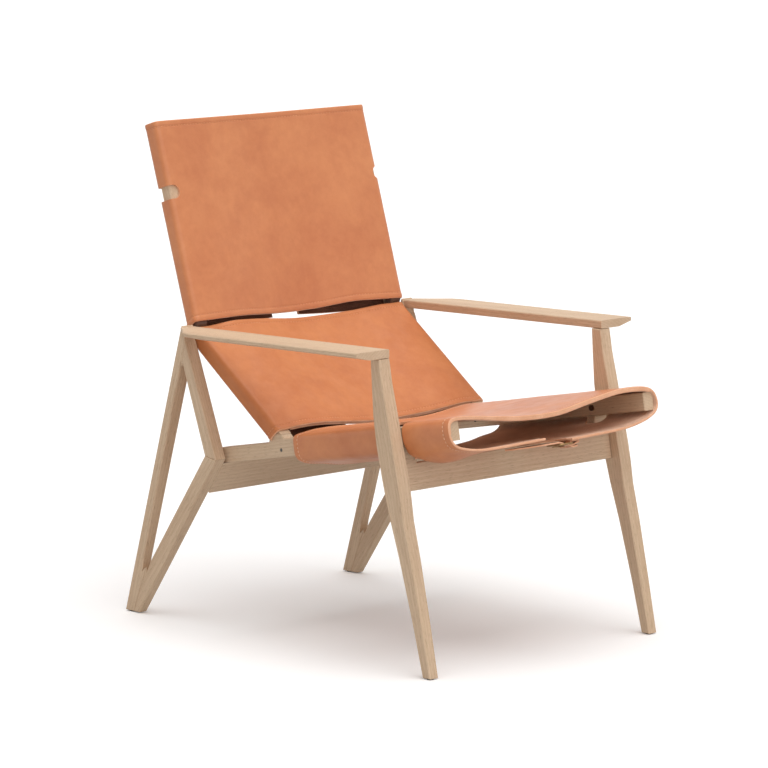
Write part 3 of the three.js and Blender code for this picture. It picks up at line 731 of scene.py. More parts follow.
@dataclass(frozen=True)
class LeatherFinish:
    """Vegetable-tanned leather: cloudy colour, fine pores and creases, a waxed sheen.

    cloud, mottle, crease and pore say how many of each go into a metre, and relief is the
    pores' depth in metres.
    """

    name: str
    tone: tuple
    deep: tuple
    roughness: float = 0.42
    coat: float = 0.3
    cloud: float = 8.0
    mottle: float = 48.0
    crease: float = 260.0
    pore: float = 900.0
    relief: float = 0.00012

    def material(self) -> bpy.types.Material:
        """The leather's nodes, read from Object coordinates.

        Returns:
            The node material.
        """
        nodes = Nodes(self.name)
        places = nodes.places
        cloud = nodes.ramp(nodes.noise(places, self.cloud, 5.0, 0.6, 0.3), 0.0, 1.0, 0.32, 0.7)
        mottle = nodes.ramp(nodes.noise(places, self.mottle, 5.0, 0.65), 0.0, 1.0, 0.3, 0.72)
        share = nodes.maths("MULTIPLY_ADD", mottle, 0.35)
        nodes.join(nodes.maths("MULTIPLY", cloud, 0.65), share.node.inputs[2])
        tone = nodes.mix(share, colour(*self.deep), colour(*self.tone))
        cells = nodes.set(nodes.add("ShaderNodeTexVoronoi", feature="SMOOTH_F1"),
                          Scale=self.pore, Smoothness=0.6)
        nodes.join(places, cells.inputs["Vector"])
        cell = cells.outputs["Distance"]
        pore = nodes.ramp(cell, 0.0, 1.0, 0.15, 0.6)
        grained = nodes.mix(nodes.maths("MULTIPLY", pore, 0.1), tone, colour(*self.deep))
        nodes.join(grained, nodes.surface.inputs["Base Color"])
        rough = nodes.ramp(nodes.noise(places, 38.0, 3.0), self.roughness - 0.05,
                           self.roughness + 0.07, 0.3, 0.7)
        nodes.join(rough, nodes.surface.inputs["Roughness"])
        crease = nodes.noise(places, self.crease, 5.0, 0.62, 0.8)
        fine = nodes.bump(cell, self.relief, 0.5)
        nodes.join(nodes.bump(crease, self.relief * 2.2, 0.45, fine),
                   nodes.surface.inputs["Normal"])
        nodes.set(nodes.surface, IOR=1.46, Coat_Weight=self.coat, Coat_Roughness=0.3)
        return nodes.material


@dataclass(frozen=True)
class SuedeFinish:
    """A fibrous face: leather's flesh side, its cut and burnished edge, thread or felt.

    fibre says how many fibres go into a metre.
    """

    name: str
    tone: tuple
    deep: tuple
    roughness: float
    fibre: float

    def material(self) -> bpy.types.Material:
        """The nodes: fibres as fine noise in colour and bump.

        Returns:
            The node material.
        """
        nodes = Nodes(self.name)
        cloud = nodes.noise(nodes.places, 22.0, 4.0, 0.6, 0.5)
        fibre = nodes.noise(nodes.places, self.fibre, 6.0, 0.7)
        share = nodes.ramp(nodes.maths("ADD", cloud, fibre), 0.0, 1.0, 0.7, 1.3)
        nodes.join(nodes.mix(share, colour(*self.deep), colour(*self.tone)),
                   nodes.surface.inputs["Base Color"])
        nodes.join(nodes.bump(fibre, 0.0003, 0.6), nodes.surface.inputs["Normal"])
        nodes.set(nodes.surface, Roughness=self.roughness, IOR=1.42)
        return nodes.material


@dataclass(frozen=True)
class WoodFinish:
    """Soaped pale wood: growth rings, fibres and pores drawn out along the grain.

    ring, cloud, fibre and dash say how many rings, clouds, fibres and pores go into a metre
    across the grain. pith is where the tree's middle lies off the grain's line, and
    rubbed_within and clean_past are how far the painted shade reaches, all in metres.
    stain is the colour of that painted shade: the dark of the shadow where the wood shows
    between two leather sleeves.
    """

    light: tuple
    dark: tuple
    pore: tuple
    stain: tuple
    roughness: float = 0.58
    ring: float = 62.0
    cloud: float = 26.0
    fibre: float = 900.0
    dash: float = 1500.0
    pith: tuple = (0.09, 0.05)
    rubbed_within: float = 0.016
    clean_past: float = 0.026

    def material(self, name: str, grain: Vector, seed: float,
                 shaded_at: Optional[Vector] = None) -> bpy.types.Material:
        """The wood of one member.

        Args:
            name: The material's name.
            grain: The direction of the grain.
            seed: A number that moves the pattern, so that no two members match.
            shaded_at: A place on a line across the chair, round which shade is painted into the wood
                where it lies in the shadow between two sleeves.

        Returns:
            The node material.
        """
        nodes = Nodes(name)
        along = grain.normalized()
        helper = Vector((1, 0, 0)) if abs(along.x) < 0.8 else Vector((0, 1, 0))
        second = along.cross(helper).normalized()
        third = along.cross(second)
        turn = Matrix((along, second, third)).to_euler("XYZ")
        own = nodes.mapped(nodes.places, turn=tuple(turn),
                           move=(seed * 0.37 % 1.0, self.pith[0] + 0.01 * math.sin(seed),
                                 self.pith[1]))
        drawn = nodes.mapped(own, scale=(0.045, 1, 1))
        rings = nodes.set(nodes.add("ShaderNodeTexWave", wave_type="RINGS",
                                    rings_direction="X", wave_profile="SAW"),
                          Scale=self.ring, Distortion=2.4, Detail=2.0, Detail_Scale=0.9,
                          Detail_Roughness=0.6)
        nodes.join(drawn, rings.inputs["Vector"])
        ring = nodes.ramp(rings.outputs["Fac"], 0.0, 1.0, 0.1, 0.95)
        fibre = nodes.noise(nodes.mapped(own, scale=(0.02, 1, 1)), self.fibre, 3.0, 0.55)
        cloud = nodes.noise(nodes.mapped(own, scale=(0.12, 1, 1)), self.cloud, 3.0, 0.5, 0.4)
        base = nodes.mix(nodes.maths("MULTIPLY", ring, 0.3), colour(*self.light),
                         colour(*self.dark))
        share = nodes.ramp(nodes.maths("ADD", fibre, cloud), 0.0, 0.5, 0.8, 1.25)
        base = nodes.mix(share, base, colour(*self.dark))
        dash = nodes.noise(nodes.mapped(own, scale=(0.045, 1, 1)), self.dash, 1.0, 0.4)
        pore = nodes.ramp(dash, 0.0, 1.0, 0.62, 0.72)
        base = nodes.mix(nodes.maths("MULTIPLY", pore, 0.55), base, colour(*self.pore))
        # Painted shade: the wood darkens near a line across the chair, where it lies in the shadow between two
        # sleeves.
        if shaded_at is not None:
            base = nodes.mix(self.rub(nodes, shaded_at), base, colour(*self.stain))
        nodes.join(base, nodes.surface.inputs["Base Color"])
        rough = nodes.ramp(fibre, self.roughness - 0.06, self.roughness + 0.08, 0.3, 0.7)
        nodes.join(rough, nodes.surface.inputs["Roughness"])
        low = nodes.bump(fibre, 0.0001, 0.5)
        hollow = nodes.maths("MULTIPLY", pore, -1.0)
        nodes.join(nodes.bump(hollow, 0.00012, 0.6, low), nodes.surface.inputs["Normal"])
        nodes.set(nodes.surface, IOR=1.45)
        return nodes.material

    def rub(self, nodes: Nodes, middle: Vector) -> Socket:
        """How much shade is painted in: deep near a line across the chair, fading past it.

        Args:
            nodes: The wood's nodes.
            middle: A place on the line, in metres.

        Returns:
            The painted shade's share.
        """
        flat = nodes.mapped(nodes.places, scale=(0, 1, 1), move=(0, -middle.y, -middle.z))
        length = nodes.add("ShaderNodeVectorMath", operation="LENGTH")
        nodes.join(flat, length.inputs[0])
        return nodes.ramp(length.outputs["Value"], 0.93, 0.0, self.rubbed_within,
                          self.clean_past)


@dataclass(frozen=True)
class MetalFinish:
    """Brushed or cast metal with fine scratches and a little tarnish.

    cloud and scratch say how many stains and scratches go into a metre.
    """

    name: str
    tone: tuple
    tarnish: tuple
    roughness: float
    cloud: float = 130.0
    scratch: float = 2600.0

    def material(self) -> bpy.types.Material:
        """The nodes: tarnish as soft noise, scratches in roughness and bump.

        Returns:
            The node material.
        """
        nodes = Nodes(self.name)
        cloud = nodes.ramp(nodes.noise(nodes.places, self.cloud, 4.0, 0.6), 0.0, 1.0, 0.35, 0.75)
        nodes.join(nodes.mix(cloud, colour(*self.tone), colour(*self.tarnish)),
                   nodes.surface.inputs["Base Color"])
        scratch = nodes.noise(nodes.mapped(nodes.places, scale=(0.15, 1, 1)), self.scratch, 2.0)
        nodes.join(nodes.ramp(scratch, self.roughness - 0.07, self.roughness + 0.1, 0.3, 0.7),
                   nodes.surface.inputs["Roughness"])
        nodes.join(nodes.bump(scratch, 0.00003, 0.35), nodes.surface.inputs["Normal"])
        nodes.set(nodes.surface, Metallic=1.0)
        return nodes.material


@dataclass
class Finishes:
    """Every material that is shared by several pieces."""

    grain: bpy.types.Material = field(default_factory=lambda: LeatherFinish(
        "leather_grain", (216, 139, 88), (196, 116, 70)).material())
    # The lumbar's leather is a darker copy of the grain leather: painted shade for the sleeve that lies under the back
    # and between the arms.
    lumbar: bpy.types.Material = field(default_factory=lambda: LeatherFinish(
        "lumbar_grain", (208, 131, 79), (190, 111, 63), 0.54, 0.0).material())
    belt: bpy.types.Material = field(default_factory=lambda: LeatherFinish(
        "belt_grain", (206, 136, 92), (188, 116, 74), 0.46).material())
    # The seat's flesh side is far paler than dark_flesh: painted light inside the seat's mouth, where the flesh lies
    # in shade.
    flesh: bpy.types.Material = field(default_factory=lambda: SuedeFinish(
        "leather_flesh", (240, 202, 176), (218, 178, 152), 0.86, 420.0).material())
    dark_flesh: bpy.types.Material = field(default_factory=lambda: SuedeFinish(
        "dark_flesh", (138, 92, 70), (108, 68, 50), 0.86, 420.0).material())
    edge: bpy.types.Material = field(default_factory=lambda: SuedeFinish(
        "leather_cut_edge", (238, 184, 148), (218, 156, 118), 0.55, 700.0).material())
    thread: bpy.types.Material = field(default_factory=lambda: SuedeFinish(
        "waxed_thread", (242, 200, 166), (222, 170, 132), 0.5, 1800.0).material())
    tan_thread: bpy.types.Material = field(default_factory=lambda: SuedeFinish(
        "tan_thread", (226, 160, 116), (204, 136, 94), 0.6, 1800.0).material())
    brass: bpy.types.Material = field(default_factory=lambda: MetalFinish(
        "aged_brass", (172, 140, 98), (126, 98, 66), 0.36).material())
    bronze: bpy.types.Material = field(default_factory=lambda: MetalFinish(
        "browned_steel", (108, 84, 66), (80, 60, 46), 0.5).material())
    steel: bpy.types.Material = field(default_factory=lambda: MetalFinish(
        "dark_steel", (112, 108, 104), (82, 78, 74), 0.42).material())
    glide: bpy.types.Material = field(default_factory=lambda: SuedeFinish(
        "felt_glide", (64, 58, 54), (44, 40, 38), 0.9, 900.0).material())


# Leather


@dataclass(frozen=True)
class Fit:
    """How a sheet lies at one end of its run, in millimetres.

    crown is how far it stands above the wood, hang how far its middle dips, flap_hang how far
    the flaps hang, and slack how far they stand off the wood.
    """

    crown: float
    hang: float
    flap_hang: float
    slack: float = 0.0


@dataclass(frozen=True)
class Run:
    """A straight run of leather and wood: along it, and down from the wood's show face."""

    start_y: float
    start_z: float
    degrees: float
    facing: int
    depth: float
    length: float
    rear: Fit
    front: Fit

    @property
    def along(self) -> Array:
        """The run's direction."""
        turn = math.radians(self.degrees)
        return np.array([0.0, math.cos(turn), math.sin(turn)])

    @property
    def down(self) -> Array:
        """The direction from the show face into the wood."""
        turn = math.radians(self.degrees)
        return np.array([0.0, self.facing * math.sin(turn), -self.facing * math.cos(turn)])

    def place(self, x: Array, along: Array, down: Array) -> Array:
        """The place at x, so far along the run and so far down.

        Args:
            x: Across the chair.
            along: Along the run.
            down: Below the show face.

        Returns:
            (..., 3) places in the drawing.
        """
        x, along, down = np.broadcast_arrays(np.asarray(x, float), along, down)
        start = np.array([0.0, self.start_y, self.start_z])
        return (start + x[..., None] * (1.0, 0.0, 0.0) + along[..., None] * self.along
                + down[..., None] * self.down)

    def fit(self, word: str, along: Array) -> Array:
        """One value of the fit, straight from the rear end of the run to its front end."""
        share = np.asarray(along) / self.length
        return (1 - share) * getattr(self.rear, word) + share * getattr(self.front, word)

    def show_face(self, x: Array, along: Array) -> Array:
        """How far down the sheet's outer face lies: highest at the wood, a cosine squared dip."""
        wave = np.cos(math.pi / 2 * np.minimum(1.0, np.abs(x) / RAIL_INNER_X)) ** 2
        return -CLEARANCE - LEATHER - self.fit("crown", along) + self.fit("hang", along) * wave

    def flap_face(self, x: Array, along: Array) -> Array:
        """How far down the flaps' outer face lies: a curve of the fourth power, bend to bend."""
        share = np.minimum(1.0, np.abs(x) / FLAP_EDGE_X)
        return (self.depth + CLEARANCE + self.fit("slack", along) + LEATHER
                + self.fit("flap_hang", along) * (1 - share ** 4))


# The runs of the seat, the small of the back and the back
SEAT_RUN = Run(-13.2, 379.2, 169.35, -1, 33.4, 410.0, Fit(6.8, 7.3, 25.5), Fit(4.8, 18.6, 25.5))
LUMBAR_RUN = Run(29.2, 385.3, 36.1, 1, 24.0, 278.5, Fit(0, 14, 33), Fit(0, 9, 7))
BACK_RUN = Run(252.107, 560.503, 72.77, 1, 24.0, 380.0, Fit(0, 19, 20.5), Fit(0, 4, 4, 3.5))


def wrapped_section(run: Run, along: float, show: Array, bend: float = 9.0) -> Array:
    """Key points round a sleeve, from the right flap's free edge over the show side to the left.

    The flaps follow the run's fit, and a quarter round joins each of them to a side and each
    side to the show side.

    Args:
        run: The run that the sleeve lies on.
        along: Where along it.
        show: (K, 2) of x and down across the show side, from right to left.
        bend: Radius of the four bends.

    Returns:
        (N, 2) of x and down.
    """
    flap_x = np.array([FLAP_GAP / 2, 75, 118, 160, 196, 222, 240])
    flap = np.stack([flap_x, run.flap_face(flap_x, along)], axis=1)
    bottom = float(run.flap_face(FLAP_EDGE_X, along))
    turn = np.radians([78.75, 56.25, 33.75, 11.25])
    low = np.stack([SLEEVE_HALF_WIDTH - bend + bend * np.cos(turn),
                    bottom - bend + bend * np.sin(turn)], axis=1)

    def side(top: float) -> Array:
        """The lower bend, the side's middle and the upper bend.

        Args:
            top: How far down the show side lies there.

        Returns:
            (9, 2) of x and down.
        """
        middle = np.array([[SLEEVE_HALF_WIDTH, (bottom + top) / 2]])
        high = np.stack([SLEEVE_HALF_WIDTH - bend + bend * np.cos(turn[::-1]),
                         top + bend - bend * np.sin(turn[::-1])], axis=1)
        return np.concatenate([low, middle, high])

    right = np.concatenate([flap, side(show[0, 1])]) * (-1.0, 1.0)
    left = np.concatenate([flap, side(show[-1, 1])])[::-1]
    return np.concatenate([right, show, left])


def plain_show(run: Run, along: float) -> Array:
    """Key points across a show side that simply follows the run's fit.

    Args:
        run: The run.
        along: Where along it.

    Returns:
        (19, 2) of x and down.
    """
    x = np.array([246.0, 236, 224, 208, 186, 158, 124, 84, 42])
    x = np.concatenate([-x, [0.0], x[::-1]])
    return np.stack([x, run.show_face(x, along)], axis=1)


# The lumbar sleeve's show side at its lower and its upper edge, x and down
LUMBAR_LOW = np.array([
    (-246, -4.4), (-231, -5.8), (-204, -8.3), (-176, -9.0), (-149, -7.8), (-110, -3.2),
    (-70, 2.3), (-30, 8.3), (10, 11.2), (52, 11.0), (98, 8.7), (133, 5.4), (158, 1.6),
    (184, -1.9), (210, -4.5), (246, -4.4),
])
LUMBAR_TOP = np.array([
    (-246, -4.4), (-231, -4.6), (-204, -7.4), (-176, -10.6), (-149, -9.8), (-110, -7.0),
    (-70, -3.1), (-30, 1.6), (10, 4.1), (52, 4.2), (98, 3.2), (133, 1.2), (158, -1.0),
    (184, -3.2), (210, -4.8), (246, -4.8),
])

# How far the back sleeve's lower edge is drawn up along the run, on its show side and on its
# flaps: x and distance
BACK_LIFT = np.array([
    (-254, 2.2), (-151, 3.8), (11, 5.6), (83, 6.4), (152, 5.0), (225, 1.1), (253, -0.5),
])
BACK_FLAP_LIFT = np.array([
    (-230, -6.0), (-32.5, -2.0), (32.5, -2.0), (90, -5.5), (150, -8.0), (230, -8.0),
])
LEVEL = np.array([(-262.0, 0.0), (262.0, 0.0)])

# The seat's mouth, from the right flap's free edge round to the left one's: x and down
SEAT_MOUTH = np.array([
    (-32.5, 57.2), (-72, 58.4), (-110, 59.2), (-146, 59.0), (-180, 58.0), (-205, 56.0),
    (-231, 51.4), (-246, 46.8), (-255, 41.2), (-261, 32.5), (-263.8, 22), (-264.1, 12),
    (-262.6, 3.5), (-258.5, -2.6), (-251, -6.2), (-238, -7.3), (-221, -6.8), (-197, -4.7),
    (-173, -2.0), (-137, 2.8), (-89, 8.0), (-39, 9.9), (11, 8.2), (50, 2.9), (89, -3.2),
    (116, -7.1), (142, -10.8), (168, -13.2), (194, -13.5), (220, -12.2), (236, -9.8),
    (248, -5.6), (256.5, 1.6), (261.3, 12), (262.4, 22), (260, 31), (254, 38), (246, 42.6),
    (233, 48.0), (208, 54.2), (181, 58.4), (155, 60.8), (129, 62.2), (90, 63.5), (60, 64.2),
    (32.5, 64.4),
])

# Between which of its keys the mouth is doubled, and how deep the doubling lies in the leather
MOUTH_DOUBLED = (10, 31)
MOUTH_TUCK = 2.5

# The seat's rear edge between its flaps, from the lower right bend to the lower left one
SEAT_REAR = np.array([
    (-230, 50.4), (-244, 46.8), (-253, 42.4), (-259.5, 35.5), (-262.1, 26), (-262.1, 13),
    (-261, 2.5), (-258, -2.5), (-252, -5.0), (-240, -6.5), (-221, -8.7), (-197, -9.8),
    (-173, -10.0), (-137, -9.0), (-89, -6.4), (-39, -4.7), (11, -4.3), (50, -4.3), (89, -5.9),
    (116, -8.4), (142, -11.2), (168, -13.2), (194, -13.2), (220, -11.6), (237, -9.8),
    (250.5, -6.5), (257.6, -1.5), (261.2, 5.5), (262.1, 14), (262.1, 26), (258.5, 36.5),
    (250, 43.6), (233, 49.6),
])


def seat_rear_section() -> Array:
    """The seat's section at its rear edge, with the mouth's key points on its flaps."""
    flaps = np.stack([SEAT_MOUTH[:, 0], SEAT_RUN.flap_face(SEAT_MOUTH[:, 0], 0.0)], axis=1)
    return np.concatenate([flaps[:6], SEAT_REAR, flaps[6 + len(SEAT_REAR):]])


@dataclass
class Sleeve:
    """A sheet of leather wrapped round two rails, with a doubled and stitched edge at each end.

    rear and front are the key points of its end sections, x and down. A place on it is a share
    of its girth, from the right flap's free edge, and a distance along the run.
    """

    name: str
    run: Run
    rear: Array
    front: Array
    finishes: Finishes
    lift: Array = field(default_factory=lambda: LEVEL)
    flap_lift: Array = field(default_factory=lambda: LEVEL)
    flap_droop: float = 0.0
    stitch_in: float = 11.0
    front_stitch_in: float = 11.0
    stitch_pitch: float = 7.0
    cell: float = 4.6
    droop_x: float = -210.0
    droop_width: float = 60.0
    droop_along: float = 326.0
    droop_length: float = 46.0

    def __post_init__(self) -> None:
        """Lays both end sections over the same shares, so that they blend point by point."""
        knots = (Curve.shares(self.rear) + Curve.shares(self.front)) / 2
        self.rear_curve = Curve(self.rear, knots)
        self.front_curve = Curve(self.front, knots)
        dense = self.front_curve(np.linspace(0, 1, 900))
        self.girth = float(np.linalg.norm(np.diff(dense, axis=0), axis=1).sum())

    def section(self, share: Array, along: Array) -> Array:
        """x and down of the outer face: the two end sections blended along the run."""
        blend = (np.asarray(along) / self.run.length)[..., None]
        return (1 - blend) * self.rear_curve(share) + blend * self.front_curve(share)

    def plain_face(self, share: Array, along: Array) -> Array:
        """The outer face before its hems are pressed in.

        The section plus faint slow ripples, products of sines, and the right flap's droop, a
        bell curve both across it and along it.

        Args:
            share: Shares of the girth.
            along: Distances along the run.

        Returns:
            (..., 3) places in the drawing.
        """
        share, along = np.broadcast_arrays(share, along)
        flat = self.section(share, along)
        x, down = flat[..., 0], flat[..., 1]
        calm = np.clip((RAIL_INNER_X - np.abs(x)) / 60.0, 0.0, 1.0)
        ripple = 0.5 * np.sin(x / 43 + along / 71 + 0.6) * np.sin(along / 37 - x / 90 + 1.9)
        below = np.clip((down - self.run.depth) / 8.0, 0.0, 1.0)
        droop = self.flap_droop * below * np.exp(
            -((x - self.droop_x) / self.droop_width) ** 2
            - ((along - self.droop_along) / self.droop_length) ** 2)
        return self.run.place(x, along, down + calm * ripple + droop)

    def inward(self, share: Array, along: Array) -> Array:
        """Directions into the leather: the cross product of small steps both ways.

        Args:
            share: Shares of the girth.
            along: Distances along the run.

        Returns:
            (..., 3) unit directions.
        """
        around = (self.plain_face(np.clip(share + 4e-4, 0, 1), along)
                  - self.plain_face(np.clip(share - 4e-4, 0, 1), along))
        onward = self.plain_face(share, along + 0.5) - self.plain_face(share, along - 0.5)
        return unit(-self.run.facing * np.cross(around, onward))

    def end_distance(self, share: Array, along: Array) -> Array:
        """The distance to the nearer end of the sleeve."""
        return np.minimum(along - self.start_at(share), self.run.length - along)

    def seam_distance(self, share: Array, along: Array) -> Array:
        """How far inside the nearer end's stitch line a place lies, negative outside it."""
        return np.minimum(along - self.start_at(share) - self.stitch_in,
                          self.run.length - along - self.front_stitch_in)

    def start_at(self, share: Array) -> Array:
        """Where the sleeve starts along its run.

        It follows its lift on the show side, and goes over the sides to the flaps' own lift in
        an even S, s^2 (3 - 2 s).

        Args:
            share: Shares of the girth.

        Returns:
            Distances along the run.
        """
        flat = self.rear_curve(np.asarray(share))
        low = np.clip(flat[..., 1] / self.run.depth, 0.0, 1.0)
        low = low * low * (3 - 2 * low)
        show = np.interp(flat[..., 0], self.lift[:, 0], self.lift[:, 1])
        flap = np.interp(flat[..., 0], self.flap_lift[:, 0], self.flap_lift[:, 1])
        return (1 - low) * show + low * flap

    def relief(self, past: Array, distance: Array) -> Array:
        """How far the face sinks: a groove under the stitches and a swelling from it to the edge.

        The groove is a bell curve about the stitch line, the swelling half a sine wave.

        Args:
            past: How far inside the stitch line a place lies.
            distance: How far inside the edge it lies.

        Returns:
            Millimetres into the leather.
        """
        groove = 0.55 * np.exp(-(past / 1.25) ** 2)
        share = np.clip(distance / np.maximum(distance - past, 1.0), 0.0, 1.0)
        return groove - 0.7 * np.sin(math.pi * share) ** 0.8

    def face(self, share: Array, along: Array) -> Array:
        """The finished outer face, with its hems pressed in.

        Args:
            share: Shares of the girth.
            along: Distances along the run.

        Returns:
            (..., 3) places in the drawing.
        """
        share, along = np.broadcast_arrays(share, along)
        sunk = self.relief(self.seam_distance(share, along), self.end_distance(share, along))
        return self.plain_face(share, along) + self.inward(share, along) * sunk[..., None]

    def grid(self) -> tuple:
        """Shares and distances along of the sheet's grid, close together near its borders.

        Returns:
            (R, C) shares and (R, C) places along the run.
        """
        def near(seam: float) -> Array:
            """Distances from an end, close together at the edge and at the seam."""
            at_seam = seam + np.array([-3.6, -2.0, -0.9, 0.0, 0.9, 2.0, 4.0, 7.5])
            return np.array([0, 0.35, 1.0, 1.8, 3.4, 5.4, *at_seam, 25, 31, 37])

        length = self.run.length
        middle = np.linspace(44, length - 44, int((length - 88) / 8.5))
        rows = np.concatenate([near(self.stitch_in), middle,
                               length - near(self.front_stitch_in)[::-1]])
        lip = np.array([0, 0.35, 1.0, 1.8]) / self.girth
        body = np.linspace(5.0 / self.girth, 1 - 5.0 / self.girth,
                           int(self.girth / self.cell))
        columns = np.concatenate([lip, body, 1 - lip[::-1]])
        share = np.broadcast_to(columns, (len(rows), len(columns)))
        start = self.start_at(columns)[None, :]
        fade = np.clip(1 - rows[:, None] / length, 0, 1)
        return share, rows[:, None] + start * fade

    def sheet(self) -> Shape:
        """The wrapped sheet itself.

        Returns:
            The closed sheet.
        """
        share, along = self.grid()
        lip = np.minimum(share, 1 - share) * self.girth
        edge = np.minimum(self.end_distance(share, along), lip)
        return thick_sheet(self.face(share, along), self.inward(share, along), LEATHER,
                           np.maximum(edge, 0.0), LEATHER_ROUNDING)

    def facing(self, first: float, last: float, front: bool, thickness: Array,
               tuck: float = -0.05) -> Shape:
        """The strip that doubles the leather inside one end.

        Args:
            first: Share of the girth where it starts.
            last: Share where it ends.
            front: Whether it lies at the front end.
            thickness: Thickness at shares spread evenly from first to last.
            tuck: How deep its outer skin lies in the sheet's leather.

        Returns:
            The closed strip.
        """
        near = np.array([0, 0.35, 1.0, 1.8, 5, 9, 13, 17, 20.2, 21, 21.65, 22.0])
        columns = np.linspace(first, last, int((last - first) * self.girth / self.cell))
        share = np.broadcast_to(columns, (len(near), len(columns)))
        start = self.start_at(columns)[None, :]
        along = (self.run.length - near[::-1, None]) if front else (start + near[:, None])
        along = np.broadcast_to(along, share.shape)
        inward = self.inward(share, along)
        outer = self.plain_face(share, along) + inward * (LEATHER - tuck)
        end = np.minimum(near, near[-1] - near)
        end = end[::-1] if front else end
        lip = np.minimum(share - first, last - share) * self.girth
        edge = np.minimum(end[:, None], lip)
        thick = np.interp(columns, np.linspace(first, last, len(thickness)), thickness) + tuck
        return thick_sheet(outer, inward, thick[None, :], np.maximum(edge, 0.0),
                           LEATHER_ROUNDING)

    def stitches(self, front: bool, keep: Optional[Keep] = None) -> Shape:
        """A row of stitches round one end, laid in the groove.

        Args:
            front: Whether the row lies at the front end.
            keep: A test of (N, 3) places, which leaves stitches out where it is false.

        Returns:
            All the stitches of the row.
        """
        share = np.linspace(0.0, 1.0, 2400)
        along = self.stitch_line(share, front)
        line = self.face(share, along)
        length = np.concatenate([[0], np.cumsum(np.linalg.norm(np.diff(line, axis=0), axis=1))])
        count = int((length[-1] - 14) / self.stitch_pitch)
        at = np.interp(7 + self.stitch_pitch * (np.arange(count) + 0.5), length, share)
        middle = self.face(at, self.stitch_line(at, front))
        ahead = self.face(at + 1e-3, self.stitch_line(at + 1e-3, front))
        outward = -self.inward(at, self.stitch_line(at, front))
        if keep is not None:
            kept = keep(middle)
            middle, ahead, outward = middle[kept], ahead[kept], outward[kept]
        return stitch_row(middle, unit(ahead - middle), outward)

    def stitch_line(self, share: Array, front: bool) -> Array:
        """Where the stitches lie.

        Args:
            share: Shares of the girth.
            front: Whether the row lies at the front end.

        Returns:
            Distances along the run.
        """
        if front:
            return np.full_like(share, self.run.length - self.front_stitch_in)
        return self.start_at(share) + self.stitch_in


def stitch_row(middle: Array, tangent: Array, outward: Array, length: float = 5.0,
               radius: float = 0.75) -> Shape:
    """Many stitches, one short bar laid at every place at once.

    Its section swells as sqrt(1 - (0.94 s)^4) from end to end, and its ends dive into the
    leather as s^2, for s from -1 to 1.

    Args:
        middle: (N, 3) middles on the leather.
        tangent: (N, 3) unit directions of the seam.
        outward: (N, 3) unit directions out of the leather.
        length: Length of a stitch.
        radius: Its radius.

    Returns:
        All the stitches as one shape.
    """
    rings, sides = 6, 6
    along = np.linspace(-1, 1, rings)
    swell = radius * np.sqrt(np.maximum(1 - (0.94 * along) ** 4, 0.05))
    turn = np.linspace(0, 2 * math.pi, sides, endpoint=False)
    base = np.stack([
        np.repeat(along * length / 2, sides),
        (swell[:, None] * np.cos(turn)[None, :]).ravel(),
        (swell[:, None] * np.sin(turn)[None, :] + 0.35
         - 0.85 * (along ** 2)[:, None]).ravel(),
    ], axis=1)
    across = unit(np.cross(outward, tangent))
    axes = np.stack([tangent, across, outward], axis=1)
    corners = middle[:, None, :] + np.einsum("ba,nac->nbc", base, axes)
    count = len(middle)
    shift = (np.arange(count) * rings * sides)[:, None, None]
    quads = (grid_faces(rings, sides, wrap=True)[None] + shift).reshape(-1, 4)
    ends = np.arange(sides)
    caps = np.stack([ends[::-1], ends + (rings - 1) * sides])
    caps = (caps[None] + shift).reshape(-1, sides)
    return Shape(corners.reshape(-1, 3), [quads, caps],
                 [np.zeros(len(quads), int), np.zeros(len(caps), int)]).turned_out()


def notch(run: Run, side: Side, at: float, depth: float, height: float, round_by: float) -> Shape:
    """The block that notches a sleeve's side: a rectangle with two round inner corners.

    Args:
        run: The sleeve's run.
        side: Which side.
        at: Its middle along the run.
        depth: How far it reaches in from the sleeve's side.
        height: How long it is along the run.
        round_by: Radius of the inner corners.

    Returns:
        The block, through the whole depth of the sleeve.
    """
    inner, outer, half = SLEEVE_HALF_WIDTH - depth, SLEEVE_HALF_WIDTH + 12.9, height / 2
    turn = np.linspace(-math.pi / 2, -math.pi, 9)
    low = np.stack([inner + round_by + round_by * np.cos(turn),
                    round_by - half + round_by * np.sin(turn)], axis=1)
    high = low[::-1] * (1, -1)
    outline = np.concatenate([[(outer, -half)], low, high, [(outer, half)]])
    x, along = side.value * outline[:, 0], at + outline[:, 1]
    return prism(run.place(x, along, -40.0), run.place(x, along, 100.0))


